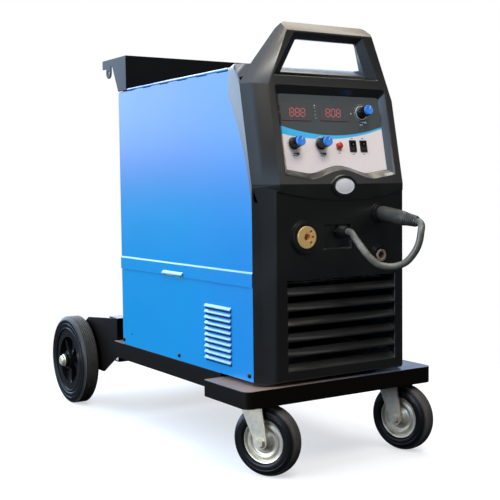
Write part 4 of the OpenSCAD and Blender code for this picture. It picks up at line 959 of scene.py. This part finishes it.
class Repeater:
    """A Geometry Nodes tree that puts a template shape on points."""

    def __init__(self) -> None:
        """Builds the tree."""
        self.tree = bpy.data.node_groups.new("shapes_on_points", "GeometryNodeTree")
        for way, kind in (("INPUT", "Geometry"), ("INPUT", "Object"), ("OUTPUT", "Geometry")):
            self.tree.interface.new_socket(kind, in_out=way, socket_type="NodeSocket" + kind)
        make = self.tree.nodes.new
        start, end = make("NodeGroupInput"), make("NodeGroupOutput")
        info, put = make("GeometryNodeObjectInfo"), make("GeometryNodeInstanceOnPoints")
        named, turn = make("GeometryNodeInputNamedAttribute"), make("FunctionNodeEulerToRotation")
        real = make("GeometryNodeRealizeInstances")
        named.data_type = "FLOAT_VECTOR"
        named.inputs["Name"].default_value = "turn"
        for source, target in ((start.outputs["Geometry"], put.inputs["Points"]),
                               (start.outputs["Object"], info.inputs["Object"]),
                               (info.outputs["Geometry"], put.inputs["Instance"]),
                               (named.outputs["Attribute"], turn.inputs[0]),
                               (turn.outputs[0], put.inputs["Rotation"]),
                               (put.outputs[0], real.inputs[0]), (real.outputs[0], end.inputs[0])):
            self.tree.links.new(source, target)

    def over(self, name: str, template: Object, places: Sequence[Matrix]) -> Object:
        """Puts copies of a template on several places, and removes the template.

        Args:
            name: the new object's name.
            template: the shape at the origin, which points along +Z.
            places: where the copies go.

        Returns:
            The plain mesh object.
        """
        mesh = bpy.data.meshes.new(name)
        mesh.from_pydata([tuple(at.translation) for at in places], [], [])
        turns = mesh.attributes.new("turn", "FLOAT_VECTOR", "POINT")
        for item, at in zip(turns.data, places):
            item.vector = at.to_euler()
        obj = new_object(name, mesh)
        modifier = obj.modifiers.new("repeat", "NODES")
        modifier.node_group = self.tree
        socket = next(item for item in self.tree.interface.items_tree if item.name == "Object")
        modifier[socket.identifier] = template
        apply_modifiers(obj)
        bpy.data.objects.remove(template)
        return smooth(obj)

    def around(self, name: str, template: Object, count: int, radius: float,
               at: Matrix) -> Object:
        """Puts copies of a template round the Z axis of a place.

        Args:
            name: the new object's name.
            template: the shape at the origin, which looks outwards along +X.
            count: number of copies.
            radius: distance of the copies from the axis.
            at: the place of the axis.

        Returns:
            The plain mesh object.
        """
        out = Matrix.Translation((radius / 1000.0, 0.0, 0.0))
        return self.over(name, template, [at @ Matrix.Rotation(a, 4, "Z") @ out for a in angles(count)])


# ------------------------------------------------------------------ stage


@dataclass(frozen=True)
class Softbox:
    """A large soft lamp. Its places and sizes are metres in the row frame."""

    name: str
    centre: Point
    target: Point
    size: tuple[float, float]
    watts: float
    colour: Rgb

    def build(self) -> None:
        """Hangs the lamp and points it at its target."""
        data = bpy.data.lights.new(self.name, "AREA")
        data.shape, data.size, data.size_y = "RECTANGLE", *self.size
        data.energy, data.color = self.watts, self.colour
        obj = bpy.data.objects.new(self.name, data)
        bpy.context.scene.collection.objects.link(obj)
        obj.location = self.centre
        obj.rotation_mode = "QUATERNION"
        obj.rotation_quaternion = (Vector(self.target) - Vector(self.centre)).to_track_quat("-Z", "Y")


@dataclass
class Studio:
    """Camera, lamps, pale floor and the world around them."""

    eye: Point = (-1053.26, -1351.56, 500.11)
    yaw: float = 32.42
    pitch: float = -3.807
    roll: float = -0.663
    focal: float = 980.59
    frame: float = 500.0
    sensor: float = 36.0
    floor_reach: float = 12.0
    floor_colour: Rgb = (0.95, 0.95, 0.95)
    floor_bounce: Rgb = (0.030, 0.028, 0.026)
    sky: Rgb = (0.54, 0.72, 0.98)
    bright_side: Point = (-0.62, 0.78, 0.0)
    white: Rgb = (1.0, 1.0, 1.0)
    lamps: tuple[Softbox, ...] = (
        Softbox("left_softbox", (-3.2, -0.2, 0.9), (0.0, -0.1, 0.4), (1.9, 1.35), 52.0, (0.92, 0.97, 1.0)),
        Softbox("left_front_softbox", (-2.2, -2.2, 1.9), (0.0, -0.3, 0.4), (1.0, 1.0), 3.2,
                (0.46, 0.72, 1.0)),
        Softbox("front_top_softbox", (-0.4, -2.1, 2.8), (0.0, -0.2, 0.4), (1.6, 1.2), 62.0,
                (1.0, 0.95, 0.88)),
        Softbox("overhead_softbox", (0.7, -0.2, 2.7), (0.0, -0.2, 0.4), (1.8, 1.6), 36.0, (1.0, 0.91, 0.78)),
        Softbox("back_softbox", (0.4, 2.7, 2.0), (0.0, 0.0, 0.4), (3.6, 1.1), 40.0, (1.0, 0.86, 0.70)),
        Softbox("front_softbox", (1.5, -3.1, 1.5), (0.0, -0.3, 0.5), (1.6, 0.9), 3.5, (1.0, 0.98, 0.95)))

    def camera(self) -> None:
        """Makes the camera at its measured place."""
        yaw, pitch, roll = (math.radians(a) for a in (self.yaw, self.pitch, self.roll))
        ahead = Vector((math.sin(yaw) * math.cos(pitch), math.cos(yaw) * math.cos(pitch), math.sin(pitch)))
        right = Vector((math.cos(yaw), -math.sin(yaw), 0.0))
        up = right.cross(ahead)
        right, up = right * math.cos(roll) + up * math.sin(roll), up * math.cos(roll) - right * math.sin(roll)
        data = bpy.data.cameras.new("viewpoint")
        data.sensor_width = self.sensor
        data.lens = self.focal / self.frame * self.sensor
        data.clip_start, data.clip_end = 0.05, 50.0
        obj = bpy.data.objects.new("viewpoint", data)
        bpy.context.scene.collection.objects.link(obj)
        obj.matrix_world = (Matrix.Translation(place(*self.eye))
                            @ Matrix((right, up, -ahead)).transposed().to_4x4())
        bpy.context.scene.camera = obj

    def world(self) -> None:
        """Makes the room: bright behind the machine, dim in front of it, and white to the camera."""
        world = bpy.data.worlds.new("room")
        bpy.context.scene.world = world
        g = Graph(world, "ShaderNodeOutputWorld")
        way = g.add("ShaderNodeTexCoord").outputs["Generated"]
        height = Wire(g, g.add("ShaderNodeSeparateXYZ", None, {0: way}).outputs[2])
        back = Wire(g, g.vector("DOT_PRODUCT", "Value", way, Vector(self.bright_side).normalized()))
        level = height.ease(-0.015, 0.055, 0.01, 4.6) * back.ease(-0.2, 0.75, 0.006, 1.0)
        strength = g.add("ShaderNodeMix", None, {0: g.seen(), 2: level, 3: 1.0}).outputs[0]
        tint = g.blend(g.seen(), self.sky, self.white)
        g.finish(g.add("ShaderNodeBackground", None, {0: tint, 1: strength}))

    def floor(self) -> None:
        """Makes the pale floor. It fades into the white room, and the machine itself sees it dim."""
        mesh = bpy.data.meshes.new("floor")
        r = self.floor_reach
        mesh.from_pydata([(-r, -r, 0.0), (r, -r, 0.0), (r, r, 0.0), (-r, r, 0.0)], [], [(0, 1, 2, 3)])
        g = Graph(bpy.data.materials.new("pale_floor"))
        far = Wire(g, g.vector("LENGTH", "Value", g.coordinates())).ease(0.42, 0.95)
        colour = g.blend(g.seen(), self.floor_bounce, self.floor_colour)
        pale = g.add("ShaderNodeBsdfDiffuse", None, {0: colour})
        white = g.add("ShaderNodeEmission", None, {0: self.white, 1: 1.0})
        mesh.materials.append(g.finish(g.add("ShaderNodeMixShader", None, {
            0: (far * 0.45 + 0.55) * g.seen(), 1: pale.outputs[0], 2: white.outputs[0]})))
        new_object("floor", mesh)

    def build(self) -> None:
        """Builds the whole stage."""
        self.camera()
        self.world()
        self.floor()
        for lamp in self.lamps:
            lamp.build()
        bpy.context.scene.view_settings.view_transform = "Standard"


# ------------------------------------------------------------------ the polarity lead


@dataclass
class PolarityLead:
    """The short lead from the gland beside the torch socket to the upper current socket."""

    diameter: float = 12.0
    sides: int = 24
    smoothness: int = 6
    droop: float = 7.8
    plug_length: float = 94.0
    overlap: float = 6.0
    socket: Point = (83.0, -1.5, 447.0)
    route: tuple[Point, ...] = (
        (-2, -8, 417), (-2, -22, 416), (-4, -37, 405), (0, -51, 389), (7, -62, 374), (18, -71, 363),
        (31, -80, 359), (44, -88, 360), (56, -96, 366), (64, -102, 376), (69, -109, 389), (72, -113, 403),
        (75, -113, 417), (80, -109, 428))

    def plug_axis(self) -> Vector:
        """The direction from the plug's tail into the socket."""
        return Vector((0.0, math.cos(math.radians(self.droop)), math.sin(math.radians(self.droop))))

    def points(self) -> list[Vector]:
        """The lead's centre line from the gland to the plug's tail, in metres."""
        tail = Vector(self.socket) - self.plug_axis() * self.plug_length
        knots = [Vector(p) for p in self.route] + [tail - self.plug_axis() * self.overlap, tail]
        line: list[Vector] = []
        for before, a, b, after in zip(knots[:1] + knots, knots, knots[1:], knots[2:] + knots[-1:]):
            for step in range(self.smoothness):
                t = step / self.smoothness
                line.append(0.5 * (2 * a + (b - before) * t + (2 * before - 5 * a + 4 * b - after) * t ** 2
                                   + (3 * a - before - 3 * b + after) * t ** 3))
        return [place(*p) for p in line + [tail]]

    def tube(self, line: Sequence[Vector]) -> Object:
        """Sweeps the sheath along its centre line.

        Args:
            line: the centre line, in metres.

        Returns:
            The closed tube.
        """
        side = Vector((1.0, 0.0, 0.0))
        rings: list[list[Vector]] = []
        for before, centre, after in zip([line[0], *line], line, [*line[1:], line[-1]]):
            ahead = (after - before).normalized()
            side = (side - ahead * side.dot(ahead)).normalized()
            other = ahead.cross(side)
            rings.append([centre + (side * math.cos(a) + other * math.sin(a)) * self.diameter / 2000.0
                          for a in angles(self.sides)])
        return skin("polarity_lead", rings)

    def plug(self) -> Object:
        """Builds the plug with its ribbed tail; its front is cut flush with the socket."""
        end, rib, radius = self.plug_length, 76.0, 11.0
        profile = [(0, 1.0), (12.2, 1.0), (12.9, 6.0), (13.3, 14.0), (13.45, 30.0), (13.2, 52.0),
                   (12.7, 64.0), (12.0, 71.0), (11.4, 74.0), (10.4, 74.6), (10.0, 75.4)]
        while rib < end + 1.0:
            profile += [(radius + out, rib + along) for out, along in
                        ((0.0, 0.0), (0.1, 0.8), (0.0, 2.6), (-1.2, 3.1), (-1.2, 4.0))]
            rib, radius = rib + 4.6, radius - 0.33
        profile += [(7.6, end + 6.0), (6.2, end + 6.2), (0, end + 6.2)]
        axis = self.plug_axis()
        start = Vector(self.socket) + axis * self.overlap
        obj = turned("plug_body", profile, facing(place(*start), tuple(-axis)), steps=72)
        flush = place(*self.socket).y
        for vertex in obj.data.vertices:
            vertex.co.y = min(vertex.co.y, flush)
        return obj

    def build(self) -> None:
        line = self.points()
        sheath = dress(self.tube(line), Coats.CABLE, "polarity_cable")
        plug = dress(self.plug(), Coats.PLUG, "polarity_plug")
        gland = RoundedCopy(0.5).make("polarity_gland", Coats.TRIM)
        length = sum((b - a).length for a, b in zip(line, line[1:]))
        LOG.info("polarity lead is %.4f m long", length)


# ------------------------------------------------------------------ controls


@dataclass
class ControlPanel:
    """Film, displays, knobs, button and rockers of the leaning plate."""

    repeater: Repeater
    knobs: tuple[tuple[str, float, float], ...] = (("voltage_knob", 67.0, 130.5), ("speed_knob", -89.0, 72.5),
                                                    ("inductance_knob", -32.0, 72.5))
    rockers: tuple[tuple[str, float], ...] = (("rocker_left", 38.0), ("rocker_right", 62.0))
    row_v: float = 69.5
    button_x: float = 7.0
    readings: tuple[tuple[str, float, float], ...] = (("888", -74.0, 127.5), ("808", 3.0, 128.5))
    digit: tuple[float, float] = (8.2, 14.0)
    digit_pitch: float = 11.6
    digit_slant: float = 0.10
    stroke: float = 1.5
    film_step: float = 0.12
    knob_profile: Profile = ((0, 16.8), (3.06, 16.8), (3.06, 0.5), (10.3, 0.5), (10.5, 0.9), (10.4, 2.6),
                             (10.0, 3.1), (9.3, 3.5), (9.05, 4.3), (8.75, 19.0), (8.6, 19.4), (0, 19.4))
    flute_profile: Profile = ((0, 4.6), (0.3, 4.7), (0.5, 5.4), (0.5, 17.8), (0.3, 18.6), (0, 18.8))
    cap_profile: Profile = ((0, 19.4), (8.55, 19.4), (8.7, 19.9), (8.7, 23.3), (8.4, 24.0), (7.8, 24.3),
                            (7.3, 24.1), (0, 24.1))
    button_profile: Profile = ((0, -4.9), (4.95, -4.9), (4.95, 2.8), (5.95, 2.8), (6.0, 3.1), (6.0, 4.3),
                               (5.7, 5.3), (4.9, 6.1), (3.4, 6.7), (1.7, 7.0), (0, 7.05))
    lamp_places: Profile = tuple((-35.5, v) for v in (136.5, 130.5, 124.5, 118.5))
    pale_places: Profile = ((-108.0, 127.5), (-103.0, 127.5), (43.5, 128.5), (-35.5, 141.0), (62.0, 108.5),
                            (66.0, 108.5))
    dark_places: Profile = ((38.0, 55.0), (62.0, 55.0), (38.0, 83.5), (62.0, 83.5), (7.0, 56.5),
                            (-91.0, 51.5), (-85.0, 51.5), (-33.0, 51.5), (-28.0, 51.5))

    @staticmethod
    def ink(v: float) -> Finish:
        """The print's colour: pale on the plate's dark field, dark on the pale one."""
        return Coats.MARK if v > 100.0 else Coats.PRINT

    def film(self) -> None:
        """Finishes the plate, the windows and what lies behind them."""
        round_all(("control_plate", Coats.FILM, 0.25, 2), ("display_windows", Coats.WINDOW, 0.25, 2),
                  ("control_board", Coats.BOARD, 0.25, 2), ("dial_rings", Coats.RING, 0.2, 2),
                  ("switch_frames", Coats.TRIM, 0.4, 2))

    def digits(self) -> None:
        """Lights seven-segment figures in both windows."""
        x, v = self.digit[0] / 2, self.digit[1] / 4
        outer = ((0, 2 * v, 0), (x, v, 90), (x, -v, 90), (0, -2 * v, 0), (-x, -v, 90), (-x, v, 90))
        segments = {"0": outer, "8": (*outer, (0, 0, 0))}
        places = [on_plate(middle + (k - 1) * self.digit_pitch + dx + dv * self.digit_slant, row + dv, 1.0)
                  @ spin(turn)
                  for text, middle, row in self.readings for k, figure in enumerate(text)
                  for dx, dv, turn in segments[figure]]
        half, tip = v - 0.45, self.stroke / 2
        outline = [(-half, 0), (-half + tip, -tip), (half - tip, -tip), (half, 0), (half - tip, tip),
                   (-half + tip, tip)]
        dress(self.repeater.over("display_figures", slab("segment", outline, 0.18), places), Coats.DIGIT)

    def prints(self) -> None:
        """Adds the small lamps between the windows and the plain marks beside the controls."""
        lamp = turned("lamp", [(0, 0), (1.25, 0), (1.25, 0.35), (0.9, 0.7), (0, 0.85)], steps=16)
        for name, template, spots, finish in (
                ("small_lamps", lamp, self.lamp_places, Coats.GREY_PRINT),
                ("pale_marks", bar("mark", 1.3, 0.9, self.film_step), self.pale_places, Coats.MARK),
                ("dark_marks", bar("dash", 2.2, 0.6, self.film_step), self.dark_places, Coats.PRINT)):
            dress(self.repeater.over(name, template, [on_plate(x, v) for x, v in spots]), finish)

    def dial(self, name: str, x: float, v: float) -> None:
        """Prints a knob's ring of plain ticks and its wedge, at its place.

        Args:
            name: the knob's name.
            x: millimetres across the plate.
            v: millimetres up the plate.
        """
        wedge = slab(name + "_wedge", [(-7, -17.0), (7.5, -20.0), (7.5, -15.2)], self.film_step,
                     on_plate(x + 2.0, v))
        dress(wedge, self.ink(v))
        ticks = self.repeater.around(name + "_ticks", bar("tick", 0.8, 0.25, 0.1), 24, 15.4, on_plate(x, v))
        dress(ticks, self.ink(v))

    def knob(self, name: str, x: float, v: float) -> None:
        """Builds one fluted knob with its azure cap and pointer.

        Args:
            name: the solid that the knob stands for, and its body.
            x: millimetres across the plate.
            v: millimetres up the plate.
        """
        at = on_plate(x, v)
        core = turned(name + "_core", self.knob_profile, at, 48)
        flute = turned("flute", self.flute_profile, steps=8)
        flutes = self.repeater.around(name + "_flutes", flute, 22, 8.85, at)
        dress(joined(name + "_body", [core, flutes]), Coats.KNOB, name, body=Body(name))
        dress(turned(name + "_cap", self.cap_profile, at, 48), Coats.KNOB_CAP, body=Body(name))
        pointer = bar(name + "_pointer", 0.55, 3.25, 0.35,
                      on_plate(x, v, 24.05) @ spin(-28.0) @ Matrix.Translation((0.0, 0.00475, 0.0)))
        dress(pointer, Coats.MARK, body=Body(name))

    def button(self) -> None:
        """Builds the domed push button."""
        head = turned("purge_button_head", self.button_profile, on_plate(self.button_x, self.row_v), 48)
        dress(head, Coats.RED, "purge_button", body=Body.BUTTON)

    def rocker(self, name: str, x: float) -> None:
        """Finishes one rocker and its plain mark.

        Args:
            name: the rocker's solid and body.
            x: millimetres across the plate.
        """
        RoundedCopy(0.4).make(name, Coats.KNOB)
        at = on_plate(x, self.row_v, -3.0) @ spin(8.0, "X") @ Matrix.Translation((0, 0, 0.0045))
        at = at @ spin(8.5, "X") @ Matrix.Translation((0, 0.004, 0))
        dress(bar(name + "_bar", 0.3, 1.4, 0.12, at), Coats.MARK, body=Body(name))

    def build(self) -> None:
        """Builds the whole panel."""
        self.film()
        self.digits()
        self.prints()
        for knob in self.knobs:
            self.dial(*knob)
            self.knob(*knob)
        self.button()
        for rocker in self.rockers:
            self.rocker(*rocker)


# ------------------------------------------------------------------ case and front


@dataclass
class Case:
    """Painted panels, the moulded front and the fittings on them."""

    repeater: Repeater
    badge_steps: int = 64
    badge_rings: Profile = ((1.0, 0.0), (1.0, 2.2), (0.975, 2.75), (0.92, 3.0), (0.88, 2.7), (0.84, 2.6),
                            (0.7, 2.95), (0.5, 3.25), (0.25, 3.42), (0.0, 3.46))
    screw_profile: Profile = ((0, 0), (4.2, 0), (4.15, 0.9), (3.7, 1.8), (2.7, 2.4), (1.2, 2.65), (0, 2.7))
    screw_z: float = 175.5
    first_screw: tuple[float, float] = (44.0, 76.0)
    rear_screws: tuple[float, float] = (158.5, 546.0)
    roof_screws: Point = (120.0, 525.0, 701.0)
    caster_bolts: Point = (155.0, 66.5, 147.0)

    def solids(self) -> None:
        """Finishes the sheet metal, the moulded front and its sockets."""
        round_all(("spool_door", Coats.AZURE, 0.5, 3), ("lower_side_panel", Coats.AZURE, 0.35, 2),
                  ("cover_panel", Coats.AZURE, 0.5, 3), ("rear_panel", Coats.BLACK, 0.4, 2),
                  ("base_pan", Coats.SHEET_ZINC, 0.4, 2), ("partition", Coats.SHEET_ZINC, 0.4, 2),
                  ("bottle_bracket", Coats.BLACK, 0.7, 3), ("hinge_pin", Coats.ZINC, 0.2, 2))
        RoundedCopy(1.2, 3, 30.0, roomy=True).make("front_bezel", Coats.BEZEL)
        round_all(("socket_flanges", Coats.TRIM, 0.5, 3), ("torch_socket_body", Coats.TORCH_BRASS, 0.5, 3),
                  ("current_socket_inserts", Coats.SOCKET_BRASS, 0.5, 3))

    def badge(self) -> None:
        """Builds the bare silver badge with its domed face."""
        wide, high = BADGE_HALF
        rings = [[Vector((wide * share * math.cos(a), high * share * math.sin(a), height)) / 1000.0
                  for a in (angles(self.badge_steps) if share else [0.0])]
                 for share, height in self.badge_rings]
        dome = skin("badge_dome", rings, facing(place(0.0, 0.0, BADGE_Z), (0.0, -1.0, 0.0)))
        dress(dome, Coats.SILVER, "badge")

    def screws(self) -> None:
        """Builds the case screws with their cross slots, and the caster bolts."""
        up, forth, sides = (0, 0, 1), (0, 1, 0), (-1, 1)
        places = [facing(place(s * CASE_SIDE, y, self.screw_z), (s, 0, 0))
                  for s, first in zip(sides, self.first_screw) for y in (first, 295.0, 540.0)]
        rear_x, rear_y = self.rear_screws
        places += [facing(place(s * rear_x, rear_y, z), forth) for s in sides for z in (200.5, 345.5, 676.5)]
        roof_x, roof_y, roof_z = self.roof_screws
        places += [facing(place(s * roof_x, roof_y, roof_z), up, forth) for s in sides]
        bolt_x, bolt_y, bolt_z = self.caster_bolts
        bolts = [facing(place(s * bolt_x + x * 30.0, bolt_y + y * 40.0, bolt_z), up, forth)
                 for s in sides for x in sides for y in sides]
        crossed = [at @ spin(a) @ Matrix.Translation((0, 0, 0.0023)) for at in places for a in (35.0, 125.0)]
        head = turned("screw", self.screw_profile, steps=24)
        hexagon = turned("hexagon", [(0, 0), (6.2, 0), (7.0, 0.7), (7.0, 5.0), (0, 5.0)], steps=6)
        shank = turned("shank", [(0, 5.0), (4.0, 5.0), (4.0, 8.0), (0, 8.0)], steps=20)
        bolt = joined("bolt", [hexagon, shank])
        parts = [self.repeater.over("case_screws", head, places),
                 self.repeater.over("screw_slots", bar("slot", 2.3, 0.35, 0.5), crossed),
                 self.repeater.over("caster_bolts", bolt, bolts)]
        dress(joined("screws_and_bolts", parts), Coats.BLACK, "fasteners")

    def build(self) -> None:
        """Builds the case."""
        self.solids()
        self.badge()
        self.screws()


# ------------------------------------------------------------------ cart and wheels


@dataclass
class Cart:
    """Deck, rails, tray, axle and all wheels."""

    caster_turns: tuple[tuple[str, float, float], ...] = (("left", -155.0, 27.0), ("right", 155.0, 15.0))
    caster_y: float = 66.5
    trail: float = 33.0
    caster_radius: float = 62.5
    rear_x: float = 186.0
    axle: tuple[float, float] = (779.5, 100.0)
    rim_half: Profile = (
        (5.06, 21.9), (9.6, 21.9), (10.0, 21.5), (10.0, 16.8), (12.6, 16.5), (14.6, 15.4), (18.6, 11.4),
        (20.6, 10.6), (23.4, 10.5), (24.8, 11.3), (26.2, 12.7), (27.2, 12.9), (28.3, 12.3), (29.6, 10.9),
        (31.0, 10.5), (33.2, 10.6), (34.4, 12.0), (35.4, 14.0), (36.6, 14.9), (38.0, 15.1), (38.5, 14.6),
        (38.5, 1.0), (35.8, 1.0), (33.8, 7.6), (16.0, 7.6), (10.0, 9.6))
    caster_flank: Profile = (
        (38.76, 0.0), (38.76, 14.2), (39.6, 16.6), (41.2, 17.9), (43.0, 18.45), (46.5, 18.5), (48.4, 18.35),
        (49.0, 17.7), (49.9, 17.65), (50.6, 18.0))
    rear_flank: Profile = (
        (70.02, 0.0), (70.02, 17.6), (70.8, 18.8), (72.0, 19.0), (73.5, 18.9), (74.2, 18.0), (76.0, 17.8),
        (77.0, 18.5), (79.0, 18.9), (83.5, 19.0), (84.3, 18.2), (86.6, 18.2), (87.4, 18.95), (90.0, 19.0))
    groove_heights: Point = (11.5, 7.0, 2.4)

    def frame(self) -> None:
        """Finishes the welded frame."""
        round_all(("deck", Coats.BLACK, 1.2, 4), ("side_rails", Coats.BLACK, 2.0, 4),
                  ("bottle_tray", Coats.BLACK, 0.9, 3), ("rear_axle", Coats.ZINC, 0.9, 3),
                  ("mounting_pads", Coats.PAD, 0.8, 3), ("caster_plates", Coats.ZINC, 0.5, 3))

    @staticmethod
    def shoulder(radius: float, height: float, bend: float, step: float) -> list[tuple[float, float]]:
        """Points of a tyre's round shoulder.

        Args:
            radius: where the bend's middle lies, from the axis.
            height: where the bend's middle lies, from the tyre's middle.
            bend: the bend's radius.
            step: degrees between two points.

        Returns:
            The points from the flank to the tread.
        """
        turns = (math.radians(step * k) for k in range(1, math.ceil(90.0 / step) + 1))
        return [(radius + bend * math.sin(a), height + bend * math.cos(a)) for a in turns]

    def caster(self, side: str, x: float, degrees: float) -> None:
        """Builds one caster's fork, pressed rim and tyre.

        Args:
            side: left or right.
            x: the swivel's place across.
            degrees: how far the fork is turned.
        """
        turn = math.radians(degrees)
        centre = (x + self.trail * math.sin(turn), self.caster_y - self.trail * math.cos(turn),
                  self.caster_radius)
        axis = (math.cos(turn), math.sin(turn), 0.0)
        at = facing(place(*centre), axis)
        body = Body("caster_wheel_" + side)
        RoundedCopy(0.7).make(f"caster_fork_{side}", Coats.ZINC)
        rim = turned(f"caster_rim_{side}_pressed", mirrored(self.rim_half), at, 80, closed=True)
        dress(rim, Coats.ZINC, f"caster_rim_{side}", body=body)
        arc = [p for p in self.shoulder(46.5, 2.5, 16.0, 6.0) if p[0] > 51.0]
        half = [*self.caster_flank, *arc, (62.5, 0.9), (62.1, 0.5)]
        tyre = turned(f"caster_tyre_{side}_moulded", mirrored(half, 1), at, 112, closed=True)
        rubber = TyreRubber(f"caster_tyre_rubber_{side}", "tyre", centre=centre, axis=axis, tread_radius=61.0)
        dress(tyre, rubber, f"caster_tyre_{side}", body=body)

    def rear_wheel(self, side: str, sign: float) -> None:
        """Builds one rear wheel's spoked centre and grooved tyre.

        Args:
            side: left or right.
            sign: -1 for left, 1 for right.
        """
        RoundedCopy(1.2).make(f"rear_wheel_{side}", Coats.WHEEL)
        centre = (sign * self.rear_x, *self.axle)
        arc = [p for p in self.shoulder(90.0, 9.0, 10.0, 9.0) if p[0] < 99.6 and p[1] > 13.2]
        tread = [(radius, height + rise) for height in self.groove_heights for radius, rise in
                 ((99.9, 1.6), (99.9, 0.5), (98.6, 0.3), (98.6, -0.6), (99.95, -0.8))]
        tyre = turned(f"rear_tyre_{side}_moulded", mirrored([*self.rear_flank, *arc, *tread], 1),
                      facing(place(*centre), (sign, 0, 0)), 144, closed=True)
        rubber = TyreRubber(f"rear_tyre_rubber_{side}", "tyre", centre=centre, tread_radius=99.5,
                            scuffed=(0.070, 0.067, 0.062))
        dress(tyre, rubber, f"rear_tyre_{side}", body=Body("rear_wheel_" + side))

    def build(self) -> None:
        """Builds the cart."""
        self.frame()
        for caster in self.caster_turns:
            self.caster(*caster)
        for side, sign in (("left", -1.0), ("right", 1.0)):
            self.rear_wheel(side, sign)


# ------------------------------------------------------------------ rear and inside


@dataclass
class Works:
    """Rear fittings and what stands inside the case."""

    fan: Point = (0.0, 547.6, 239.0)
    ring_radii: tuple[float, ...] = (16.0, 30.0, 44.0, 58.0)
    wire_radius: float = 1.6
    wire_reach: float = 68.0

    def guard(self) -> None:
        """Builds the fan guard from bent wire rings and two crossed wires."""
        at = facing(place(*self.fan), (0, 1, 0))
        r, end = self.wire_radius, self.wire_reach
        wires = ([(radius + r * math.cos(a), r * math.sin(a)) for a in angles(12)]
                 for radius in self.ring_radii)
        parts = [turned("ring", wire, at, 72, closed=True) for wire in wires]
        half = [(r, end - 0.4), (r - 0.3, end), (0, end)]
        parts += [turned("bar", [(radius, -height) for radius, height in reversed(half)] + half,
                         at @ spin(degrees) @ spin(90.0, "Y"), 16) for degrees in (45.0, 135.0)]
        dress(joined("fan_guard_wires", parts), Coats.ZINC, "fan_guard")

    def build(self) -> None:
        """Finishes every remaining solid."""
        self.guard()
        round_all(("mains_gland", Coats.TRIM, 0.7, 3), ("gas_inlet", Coats.GAS_BRASS, 0.5, 3),
                  ("mains_switch_knob", Coats.RED, 1.0, 3), ("fan_frame", Coats.TRIM, 0.8, 3),
                  ("fan_rotor", Coats.TRIM, 0.4, 3), ("feeder_body", Coats.ALLOY, 0.6, 3),
                  ("feed_motor", Coats.BLACK, 1.0, 3), ("spool_shaft", Coats.ZINC, 0.5, 3),
                  ("spool_hub", Coats.TRIM, 0.9, 3), ("power_module", Coats.ALLOY, 0.3, 3),
                  ("transformer", Coats.CORE, 0.8, 3), ("feed_roll", Coats.ZINC, 0.4, 3),
                  ("pressure_roll", Coats.ZINC, 0.4, 3), ("pressure_arm", Coats.ARM, 0.8, 3),
                  ("tension_lever", Coats.KNOB, 0.8, 3))


def main() -> None:
    """Builds the machine in order."""
    logging.basicConfig(level=logging.INFO, format="%(name)s: %(message)s")
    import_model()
    Studio().build()
    repeater = Repeater()
    for part in (PolarityLead(), ControlPanel(repeater), Case(repeater), Cart(), Works()):
        part.build()
        LOG.info("built %s", type(part).__name__)


if __name__ == "__main__":
    main()
